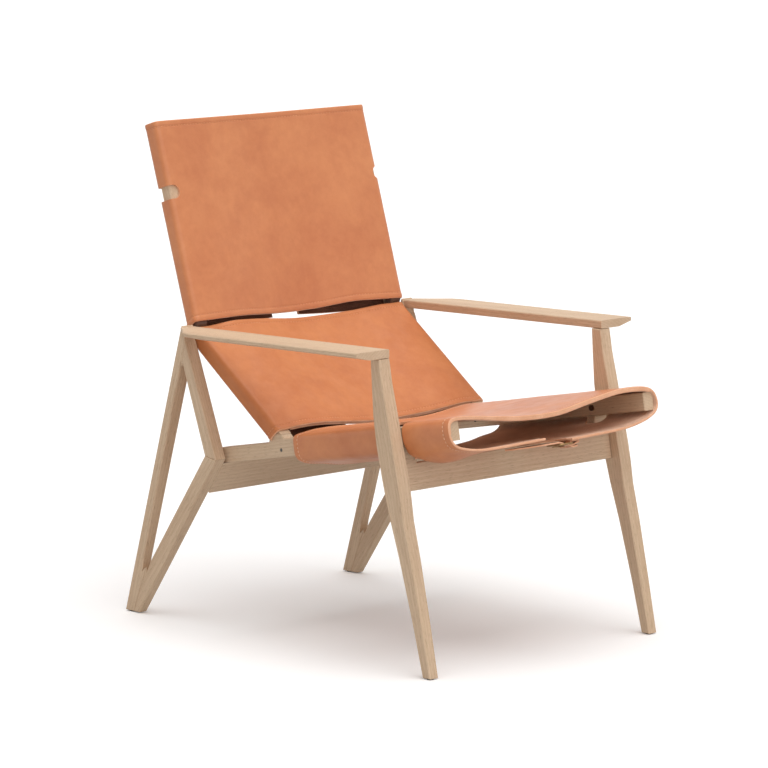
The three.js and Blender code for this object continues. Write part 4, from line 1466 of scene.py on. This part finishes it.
@dataclass
class Slings:
    """The three sleeves with their facings and stitches."""

    finishes: Finishes
    facing_thickness: float = 4.0
    back_notch_at: float = 246.0
    seat_notch_at: float = 270.0
    seat_droop: float = 17.0
    lumbar_flap_lift: float = 3.6

    def __post_init__(self) -> None:
        """Sets out the three sleeves."""
        self.seat = Sleeve("seat_sling", SEAT_RUN, seat_rear_section(), SEAT_MOUTH,
                           self.finishes, flap_droop=self.seat_droop, front_stitch_in=15.5)
        low, top = 0.0, LUMBAR_RUN.length
        self.lumbar = Sleeve("lumbar_sling", LUMBAR_RUN,
                             wrapped_section(LUMBAR_RUN, low, LUMBAR_LOW),
                             wrapped_section(LUMBAR_RUN, top, LUMBAR_TOP),
                             self.finishes, flap_lift=LEVEL + (0.0, self.lumbar_flap_lift))
        low, top = 0.0, BACK_RUN.length
        self.back = Sleeve("back_sling", BACK_RUN,
                           wrapped_section(BACK_RUN, low, plain_show(BACK_RUN, low)),
                           wrapped_section(BACK_RUN, top, plain_show(BACK_RUN, top)),
                           self.finishes, lift=BACK_LIFT, flap_lift=BACK_FLAP_LIFT)

    def build(self) -> None:
        self.make(self.seat, ("seat_rail_right", "seat_rail_left"), [
            notch(SEAT_RUN, side, self.seat_notch_at, 36.0, 42.0, 9.0) for side in Side])
        self.make(self.lumbar, ("back_upright_right", "back_upright_left"), self.lobe_blocks(),
                  self.clear_of_lobe)
        self.make(self.back, ("back_upright_right", "back_upright_left"), [
            notch(BACK_RUN, Side.RIGHT, self.back_notch_at, 24.0, 26.0, 13.0),
            notch(BACK_RUN, Side.LEFT, self.back_notch_at, 13.0, 24.0, 12.0)])

    def make(self, sleeve: Sleeve, rests_on: tuple, cutters: Sequence[Shape],
             keep: Optional[Keep] = None) -> None:
        """One sleeve with everything on it.

        Args:
            sleeve: The sleeve.
            rests_on: Names of what it is wrapped round.
            cutters: Blocks that are cut out of it.
            keep: A test of places where stitches stay.
        """
        finishes = self.finishes
        # The lumbar takes the darker leather, painted shade.
        grain = finishes.lumbar if sleeve is self.lumbar else finishes.grain
        # The seat takes the paler flesh, painted light inside its mouth; the other sleeves take dark_flesh.
        flesh = finishes.flesh if sleeve is self.seat else finishes.dark_flesh
        piece = make_piece(sleeve.name + "_leather", sleeve.sheet(),
                           [grain, flesh, finishes.edge], "sling_leather")
        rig.replaces(piece, sleeve.name)
        carve(piece, cutters, finishes.edge)
        seams = [sleeve.stitches(front, keep) for front in (False, True)]
        thread = finishes.thread if sleeve is self.seat else finishes.tan_thread
        seam = make_piece(sleeve.name + "_stitches", joined(seams), [thread],
                          "sling_leather", sharp=SHARP_METAL)
        strips = [self.hem(sleeve, front) for front in (False, True)]
        facing = make_piece(sleeve.name + "_hems", joined(strips),
                            [flesh, flesh, finishes.edge], "sling_leather")
        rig.sheet(piece, (sleeve.girth * MILLIMETRE, sleeve.run.length * MILLIMETRE),
                 held="stretched", rests_on=list(rests_on), with_pieces=[seam, facing])

    def hem(self, sleeve: Sleeve, front: bool) -> Shape:
        """The facing inside one end: between the rails, or at the seat's mouth round the bends.

        Args:
            sleeve: The sleeve.
            front: Whether it lies at the front end.

        Returns:
            The closed strip.
        """
        if sleeve is self.seat and front:
            first, last = (float(sleeve.front_curve.knots[key]) for key in MOUTH_DOUBLED)
            thickness = np.array([2.0, 2.2, 2.3, 2.6, 3.6, 4.2, 4.3, 4.3, 4.3, 4.3, 4.3, 4.3,
                                  4.3, 4.2, 3.4])
            return sleeve.facing(first, last, True, thickness, MOUTH_TUCK)
        curve = sleeve.front_curve if front else sleeve.rear_curve
        share = np.linspace(0, 1, 2000)
        flat = curve(share)
        top = (np.abs(flat[:, 0]) < RAIL_INNER_X - 3) & (flat[:, 1] < sleeve.run.depth * 0.9)
        first, last = float(share[top].min()), float(share[top].max())
        return sleeve.facing(first, last, front, np.full(5, self.facing_thickness))

    def lobe_blocks(self) -> list:
        """Round blocks that clear the seat rails' lobes out of the lumbar sleeve.

        Returns:
            A block for each side.
        """
        turn = np.linspace(0, 2 * math.pi, 64, endpoint=False)
        radius = LOBE_RADIUS + CLEARANCE + 0.2
        y = LOBE_CENTRE[0] + radius * np.cos(turn)
        z = LOBE_CENTRE[1] + radius * np.sin(turn)
        blocks = []
        for side in Side:
            rings = [np.stack([np.full_like(y, side.value * x), y, z], axis=1)
                     for x in (RAIL_INNER_X - 0.3, RAIL_OUTER_X + 0.15)]
            blocks.append(prism(*rings))
        return blocks

    def clear_of_lobe(self, places: Array) -> Array:
        """A test for stitches.

        Args:
            places: (N, 3) places in the drawing.

        Returns:
            (N,) whether each is clear of the lobes.
        """
        reach = np.hypot(places[:, 1] - LOBE_CENTRE[0], places[:, 2] - LOBE_CENTRE[1])
        over = np.abs(places[:, 0]) > RAIL_INNER_X - 2
        inside = over & (np.abs(places[:, 0]) < RAIL_OUTER_X + 2)
        return ~(inside & (reach < LOBE_RADIUS + 4))


# Belts and buckles


@dataclass
class Belt:
    """A strap with a buckle that draws two flaps together.

    The strap lies on the right flap from start_x on and goes through the buckle to end_x. The
    chape goes from chape_end_x on the left flap round the buckle's heel, and back.
    """

    name: str
    sleeve: Sleeve
    at: float
    finishes: Finishes
    width: float = 30.0
    thickness: float = 3.0
    wire: float = 1.8
    heel_x: float = 38.0
    front_x: float = 6.0
    buckle_width: float = 39.0
    corner: float = 6.0
    start_x: float = -104.0
    end_x: float = 96.0
    chape_end_x: float = 84.0
    slot_start_x: float = 10.8
    slot_end_x: float = 39.2
    hole_radius: float = 1.9
    stitch_length: float = 4.0
    stitch_radius: float = 0.5

    @property
    def bar(self) -> float:
        """How far down the middle of the buckle's wire lies."""
        face = float(self.face(FLAP_GAP / 2))
        return face + 2 * CLEARANCE + self.thickness + self.wire

    def face(self, x: Array) -> Array:
        """The lowest that the flaps' outer face lies under the strap's width."""
        run, half = self.sleeve.run, self.width / 2
        return np.maximum(run.flap_face(x, self.at - half), run.flap_face(x, self.at + half))

    def place(self, x: Array, across: Array, down: Array) -> Array:
        """A place from x, the distance across the strap, and down."""
        return self.sleeve.run.place(x, self.at + np.asarray(across, float), down)

    def strip(self, keys: Array, tip: float, butt: float) -> Shape:
        """A strip of leather along a curve, with a rounded tip.

        The half width is that of the strap, times sqrt(1 - 0.9 s^2) over the tip and
        sqrt(1 - 0.6 s^2) over the butt, s going from 0 to 1 at the end.

        Args:
            keys: (K, 2) of x and down of the strip's outer face.
            tip: Length of the rounded tip at the curve's end.
            butt: Length of a rounded tip at the curve's start.

        Returns:
            The closed strip.
        """
        curve = Curve(keys)
        share = np.linspace(0, 1, 700)
        flat = curve(share)
        length = np.concatenate([[0], np.cumsum(np.linalg.norm(np.diff(flat, axis=0), axis=1))])
        lip = np.array([0, 0.3, 0.8, 1.6])
        rows = np.concatenate([lip, np.arange(3.0, length[-1] - 2.2, 1.7), length[-1] - lip[::-1]])
        line = curve(np.interp(rows, length, share))
        half = self.width / 2
        wide = half * np.sqrt(np.maximum(
            1 - np.clip((rows - length[-1] + tip) / tip, 0, 1) ** 2 * 0.9, 0.01))
        wide = np.minimum(wide, half * np.sqrt(np.maximum(
            1 - np.clip((butt - rows) / butt, 0, 1) ** 2 * 0.6, 0.01)))
        reach = np.concatenate([-half + lip, np.linspace(-12.6, 12.6, 15), half - lip[::-1]])
        across = reach[None, :] * (wide / half)[:, None]
        face = self.place(line[:, 0, None], across, line[:, 1, None])
        normal = np.gradient(line, axis=0)
        inward = unit(np.stack([normal[:, 1], -normal[:, 0]], axis=1))
        run = self.sleeve.run
        inward = inward[:, :1] * np.array([[1.0, 0, 0]]) + inward[:, 1:] * run.down
        inward = np.broadcast_to(inward[:, None, :], face.shape)
        end = np.minimum(rows, length[-1] - rows)[:, None]
        edge = np.minimum((wide[:, None] - np.abs(across)), end)
        return thick_sheet(face, inward, self.thickness, np.maximum(edge, 0), 0.9)

    def strap_keys(self) -> Array:
        """The strap's outer face, from the right flap to its tip over the heel.

        It bridges the flaps' gap below the buckle's wire, climbs over the heel to a crest and
        sinks a little towards its tip.

        Returns:
            (K, 2) of x and down.
        """
        bar, thick, wire = self.bar, self.thickness, self.wire
        crest = bar + wire + 2 * CLEARANCE + thick
        gap = bar - wire - CLEARANCE
        x = np.array([self.start_x, -88, -72, -56, -42])
        near = self.face(x) + CLEARANCE + thick
        bridge = np.array([(-28.0, gap + 0.1), (-12, gap), (2, gap), (10, gap + 0.3)])
        climb = np.array([(17, gap + 3.0), (24, bar + 2.4), (30, crest - 1.8)])
        past = self.end_x - 46.0
        far = np.concatenate([[38.0, 46.0], 46.0 + past * np.array([0.28, 0.64, 1.0])])
        sink = past / 50.0 * np.array([0, 0, -0.6, -1.6, -2.4])
        tail = np.stack([far, crest + thick + sink], axis=1)
        tail[:, 1] += -thick + 2.6
        return np.concatenate([np.stack([x, near], axis=1), bridge, climb, tail])

    def chape_keys(self) -> Array:
        """The chape's outer face: along the left flap, round the heel and back.

        Returns:
            (K, 2) of x and down.
        """
        bar = self.bar
        reach = self.wire + CLEARANCE + self.thickness
        far = 45.0 + (self.chape_end_x - 45.0) * np.array([1.0, 0.64, 0.28, 0])
        first = self.face(far) + CLEARANCE
        turn = np.linspace(-math.pi / 2, -3 * math.pi / 2, 9)
        bend = np.stack([self.heel_x + reach * np.cos(turn), bar + reach * np.sin(turn)], axis=1)
        back = self.face(far) + 2 * CLEARANCE + 2 * self.thickness
        back[-1] += 2.6
        back[-2] += 0.9
        return np.concatenate([np.stack([far, first], axis=1), bend,
                               np.stack([far, back], axis=1)[::-1]])

    def slot_block(self, first_x: float, last_x: float, width: float = 5.4) -> Shape:
        """A block for the prong's slot, its ends half round.

        Args:
            first_x: Where it starts.
            last_x: Where it ends.
            width: Its width.

        Returns:
            The closed block.
        """
        half = width / 2
        turn = np.linspace(-math.pi / 2, math.pi / 2, 7)
        right = np.stack([last_x - half + half * np.cos(turn), half * np.sin(turn)], axis=1)
        left = np.stack([first_x + half - half * np.cos(turn), -half * np.sin(turn)], axis=1)
        outline = np.concatenate([right, left])
        return prism(self.place(outline[:, 0], outline[:, 1], self.bar - 13),
                     self.place(outline[:, 0], outline[:, 1], self.bar + 14))

    def holes(self) -> list:
        """Round blocks for the prong's holes in the strap's tail.

        Returns:
            The closed blocks.
        """
        turn = np.linspace(0, 2 * math.pi, 16, endpoint=False)
        blocks = []
        for x in np.arange(54.0, self.end_x - 20.0, 16.0):
            ring_x = x + self.hole_radius * np.cos(turn)
            ring_across = self.hole_radius * np.sin(turn)
            blocks.append(prism(self.place(ring_x, ring_across, self.bar + 3.4),
                                self.place(ring_x, ring_across, self.bar + 16)))
        return blocks

    def frame_shape(self) -> Shape:
        """The buckle's frame: a wire round a rectangle with quarter-round corners.

        Returns:
            The closed wire.
        """
        middle = (self.heel_x + self.front_x) / 2
        half_x = (self.heel_x - self.front_x) / 2 - self.corner
        half_y = self.buckle_width / 2 - self.corner
        turn = np.linspace(0, 2 * math.pi, 48, endpoint=False) + math.pi / 48
        x = middle + np.sign(np.cos(turn)) * half_x + self.corner * np.cos(turn)
        across = np.sign(np.sin(turn)) * half_y + self.corner * np.sin(turn)
        path = self.place(x, across, self.bar)
        return tube(path, self.sleeve.run.down, self.wire, self.wire, 14, True)

    def prong_shape(self) -> Shape:
        """The prong: an eye round the heel bar, then a tapering pin to the front bar.

        Returns:
            The closed bar.
        """
        centre_x, bar = self.heel_x, self.bar
        reach = self.wire + 0.15 + 1.3
        turn = np.linspace(math.radians(-150), math.radians(95), 22)
        eye = np.stack([centre_x + reach * np.cos(turn), bar + reach * np.sin(turn)], axis=1)
        tip_x = self.front_x - self.wire - 3.0
        rest = self.wire + CLEARANCE + 1.15
        pin = np.array([(centre_x - 6, bar + rest + 0.75), (centre_x - 14, bar + rest + 0.7),
                        (centre_x - 22, bar + rest + 0.45), (centre_x - 29, bar + rest + 0.15),
                        (tip_x + 1.5, bar + rest), (tip_x, bar + rest - 0.1)])
        line = Curve(np.concatenate([eye, pin]))(np.linspace(0, 1, 64))
        share = np.linspace(0, 1, 64)
        thin = np.interp(share, [0, 0.1, 0.9, 0.97, 1.0], [1.1, 1.25, 1.1, 0.85, 0.3])
        wide = np.interp(share, [0, 0.1, 0.5, 0.9, 0.97, 1.0], [1.6, 1.7, 1.7, 1.3, 1.0, 0.35])
        path = self.place(line[:, 0], 0.0, line[:, 1])
        return tube(path, self.sleeve.run.along, thin, wide, 12, False)

    def build(self) -> None:
        """Makes the four pieces of the belt."""
        finishes = self.finishes
        leathers = [finishes.belt, finishes.dark_flesh, finishes.edge]
        keys = self.strap_keys()
        strap = make_piece(self.name + "_strap_leather", self.strip(keys, 16.0, 6.0), leathers,
                           "belt_leather")
        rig.replaces(strap, self.name + "_strap")
        carve(strap, [self.slot_block(self.slot_start_x, self.slot_end_x), *self.holes()],
              finishes.edge)
        length = float(np.linalg.norm(np.diff(keys, axis=0), axis=1).sum())
        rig.sheet(strap, (self.width * MILLIMETRE, length * MILLIMETRE), held="stretched",
                 rests_on=[self.sleeve.name])
        keys = self.chape_keys()
        chape = make_piece(self.name + "_chape_leather", self.strip(keys, 4.0, 4.0), leathers,
                           "belt_leather")
        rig.replaces(chape, self.name + "_chape")
        carve(chape, [self.slot_block(self.heel_x - 12, self.heel_x + 6)], finishes.edge)
        seam = make_piece(self.name + "_chape_stitches", self.chape_seam(), [finishes.thread],
                          "belt_leather", sharp=SHARP_METAL)
        length = float(np.linalg.norm(np.diff(keys, axis=0), axis=1).sum())
        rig.sheet(chape, (self.width * MILLIMETRE, length * MILLIMETRE), held="folded",
                 rests_on=[self.sleeve.name], with_pieces=[seam])
        wire = make_piece(self.name + "_buckle_wire", self.frame_shape(), [finishes.brass],
                          "brass", sharp=SHARP_METAL)
        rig.replaces(wire, self.name + "_buckle_frame")
        pin = make_piece(self.name + "_buckle_pin", self.prong_shape(), [finishes.brass],
                         "brass", self.name + "_buckle_prong", sharp=SHARP_METAL)
        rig.replaces(pin, self.name + "_buckle_prong")

    def chape_seam(self) -> Shape:
        """Stitches along both edges of the chape and across its end.

        Returns:
            All the stitches.
        """
        run = self.sleeve.run
        end = self.chape_end_x
        x = np.arange(50.0, end - 4.0, 5.6)
        rows = [np.stack([x, np.full_like(x, across)], axis=1) for across in (-11.2, 11.2)]
        ends = np.arange(-8.4, 8.5, 5.6)
        cross = np.stack([np.full_like(ends, end - 4.5), ends], axis=1)
        flat = np.concatenate([*rows, cross])
        knots = 45.0 + (end - 45.0) * np.array([0, 0.28, 0.64, 1.0])
        down = np.interp(flat[:, 0], knots, [2.6, 0.9, 0, 0])
        down += self.face(flat[:, 0]) + 2 * CLEARANCE + 2 * self.thickness
        middle = self.place(flat[:, 0], flat[:, 1], down)
        lengthwise = np.broadcast_to(np.array([1.0, 0, 0]), middle.shape).copy()
        lengthwise[2 * len(x):] = run.along
        outward = np.broadcast_to(run.down, middle.shape)
        return stitch_row(middle, lengthwise, outward, self.stitch_length, self.stitch_radius)


# Wood and fittings


@dataclass
class Timber:
    """The wooden members, each with its own piece of grain."""

    seed_step: float = 1.7
    # The fourth colour is painted shade, for the uprights' wood in the shadow between the back and lumbar sleeves.
    finish: WoodFinish = WoodFinish((217, 190, 160), (189, 156, 124), (146, 112, 82),
                                    (74, 42, 28))

    def build(self) -> None:
        """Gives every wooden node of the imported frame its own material."""
        grains = {
            "front_leg": Vector((0, 0.226, 0.974)), "rear_leg": Vector((0, 0.285, -0.958)),
            "upper_strut": Vector((0, 0.37, 0.93)), "lower_strut": Vector((0, 0.6, -0.8)),
            "armrest": Vector((0, 1, -0.024)), "seat_rail": Vector((0, -0.983, 0.185)),
            "back_upright": Vector((0, 0.42, 0.9)),
        }
        seed = 1.0
        for word, grain in grains.items():
            for side in Side:
                seed += self.seed_step
                self.dress(f"{word}_{side.word}", grain, seed)
        for word in ("front_cross_rail", "rear_cross_rail", "back_spreader"):
            seed += self.seed_step
            self.dress(word, Vector((1, 0, 0)), seed)

    def dress(self, node: str, grain: Vector, seed: float) -> None:
        """Puts the wood on one node.

        Args:
            node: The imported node.
            grain: The direction of its grain.
            seed: A number that moves its pattern.
        """
        # Shade is painted into the back uprights round their bend, where they show in the shadow between the back and
        # lumbar sleeves.
        bend = Vector(to_frame(LUMBAR_RUN.place(0.0, UPRIGHT_BEND, 0.0)))
        shaded_at = bend if node.startswith("back_upright") else None
        material = self.finish.material(f"wood_{node}", grain, seed, shaded_at)
        for place in frame["nodes"][node].material_slots:
            place.material = material
        log.info("%s: %s", node, material.name)


@dataclass
class Fittings:
    """Screws, spacers and glides, which keep their solids and get a finish."""

    finishes: Finishes

    def build(self) -> None:
        """Dresses every metal and felt node."""
        for name, piece in frame["nodes"].items():
            if piece.hide_render:
                continue
            if "bolt" in name:
                self.dress(piece, self.finishes.bronze)
            elif "spacer" in name or "screw" in name:
                self.dress(piece, self.finishes.steel)
            elif "glide" in name:
                self.dress(piece, self.finishes.glide)

    def dress(self, piece: bpy.types.Object, material: bpy.types.Material) -> None:
        """Puts a material into every slot of a node.

        Args:
            piece: The node's object.
            material: The material.
        """
        for place in piece.material_slots:
            place.material = material
        log.info("%s: %s", piece.name, material.name)


# Studio


@dataclass(frozen=True)
class Lamp:
    """A wide sun: toward is the direction from the chair to it, degrees how wide it is."""

    name: str
    toward: tuple
    strength: float
    degrees: float

    def build(self) -> None:
        """Makes the lamp."""
        data = bpy.data.lights.new(self.name, "SUN")
        data.energy = self.strength
        data.angle = math.radians(self.degrees)
        lamp = bpy.data.objects.new(self.name, data)
        bpy.context.scene.collection.objects.link(lamp)
        lamp.rotation_mode = "QUATERNION"
        lamp.rotation_quaternion = Vector(self.toward).to_track_quat("Z", "Y")


@dataclass
class Studio:
    """The camera, the pale floor, and soft light at a plain level."""

    eye: tuple = (-5.3533, -5.6702, 1.6441)
    target: tuple = (-0.0236, -0.0006, 0.4506)
    lens: float = 201.28
    lamps: tuple = (Lamp("overhead", (-0.02, -0.12, 0.99), 1.98, 66.0),
                    Lamp("front", (-0.26, -0.88, 0.33), 0.95, 80.0))
    ambient: float = 0.39
    sky: tuple = (1.0, 0.99, 0.98, 1.0)
    white: tuple = (1.0, 1.0, 1.0, 1.0)
    floor_half_width: float = 60.0
    floor_seen: tuple = (0.99, 0.985, 0.98, 1.0)
    floor_as_light: tuple = (0.66, 0.66, 0.66, 1.0)
    floor_glow: float = 0.08

    def build(self) -> None:
        """Makes everything that isn't the chair."""
        self.camera()
        self.floor()
        self.world()
        for lamp in self.lamps:
            lamp.build()
        bpy.context.scene.view_settings.view_transform = "Standard"

    def camera(self) -> None:
        """The camera, at the photograph's place."""
        data = bpy.data.cameras.new("camera")
        data.lens = self.lens
        data.sensor_width = 36.0
        data.clip_start, data.clip_end = 0.1, 200.0
        camera = bpy.data.objects.new("camera", data)
        bpy.context.scene.collection.objects.link(camera)
        eye, target = Vector(self.eye), Vector(self.target)
        camera.location = eye
        camera.rotation_mode = "QUATERNION"
        camera.rotation_quaternion = (target - eye).to_track_quat("-Z", "Y")
        bpy.context.scene.camera = camera

    def floor(self) -> None:
        """A wide pale floor that adds a plain white glow for the camera and keeps the shadow."""
        side = self.floor_half_width
        mesh = bpy.data.meshes.new("floor")
        corners = [(-side, -side, 0), (side, -side, 0), (side, side, 0), (-side, side, 0)]
        mesh.from_pydata(corners, [], [(0, 1, 2, 3)])
        floor = bpy.data.objects.new("floor", mesh)
        bpy.context.scene.collection.objects.link(floor)
        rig.stage(floor)
        nodes = Nodes("pale_floor")
        nodes.set(nodes.surface, Roughness=0.9, Specular_IOR_Level=0.0)
        seen = nodes.add("ShaderNodeLightPath").outputs["Is Camera Ray"]
        nodes.join(nodes.mix(seen, self.floor_as_light, self.floor_seen),
                   nodes.surface.inputs["Base Color"])
        glow = nodes.set(nodes.add("ShaderNodeEmission"), Color=self.white)
        nodes.join(nodes.maths("MULTIPLY", seen, self.floor_glow), glow.inputs["Strength"])
        both = nodes.add("ShaderNodeAddShader")
        nodes.join(nodes.surface.outputs["BSDF"], both.inputs[0])
        nodes.join(glow.outputs["Emission"], both.inputs[1])
        nodes.join(both.outputs["Shader"], nodes.output.inputs["Surface"])
        mesh.materials.append(nodes.material)

    def world(self) -> None:
        """A plain sky: white where it is seen or mirrored, softer as a light."""
        world = bpy.data.worlds.new("studio")
        bpy.context.scene.world = world
        world.use_nodes = True
        tree = world.node_tree
        tree.nodes.clear()
        path = tree.nodes.new("ShaderNodeLightPath")
        seen = path.outputs["Is Camera Ray"]
        for ray in ("Is Glossy Ray", "Is Transmission Ray"):
            either = tree.nodes.new("ShaderNodeMath")
            either.operation = "MAXIMUM"
            tree.links.new(seen, either.inputs[0])
            tree.links.new(path.outputs[ray], either.inputs[1])
            seen = either.outputs["Value"]
        mix = tree.nodes.new("ShaderNodeMixShader")
        tree.links.new(seen, mix.inputs["Fac"])
        for place, tint, strength in ((1, self.sky, self.ambient), (2, self.white, 1.0)):
            sky = tree.nodes.new("ShaderNodeBackground")
            sky.inputs["Color"].default_value = tint
            sky.inputs["Strength"].default_value = strength
            tree.links.new(sky.outputs["Background"], mix.inputs[place])
        out = tree.nodes.new("ShaderNodeOutputWorld")
        tree.links.new(mix.outputs["Shader"], out.inputs["Surface"])


def write_sizes() -> None:
    """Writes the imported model's box and the dressed model's box."""
    low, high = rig.bounds()
    with open(SIZE_FILE, "w") as out:
        json.dump({"cad": [list(cad_low), list(cad_high)],
                   "visual": [list(low), list(high)]}, out)


def main() -> None:
    """Builds the chair's pieces in order."""
    logging.basicConfig(level=logging.INFO, format="%(name)s: %(message)s")
    finishes = Finishes()
    Studio().build()
    slings = Slings(finishes)
    slings.build()
    places = [
        ("seat_belt_1", slings.seat, 118.0), ("lumbar_belt_1", slings.lumbar, 135.0),
        ("back_belt_1", slings.back, 86.0), ("back_belt_2", slings.back, 286.0),
    ]
    for name, sleeve, at in places:
        Belt(name, sleeve, at, finishes).build()
    # The front belt's tail and chape end soon after its buckle
    Belt("seat_belt_2", slings.seat, 388.0, finishes, end_x=60.0, chape_end_x=60.0).build()
    Timber().build()
    Fittings(finishes).build()
    write_sizes()


if __name__ == "__main__":
    main()
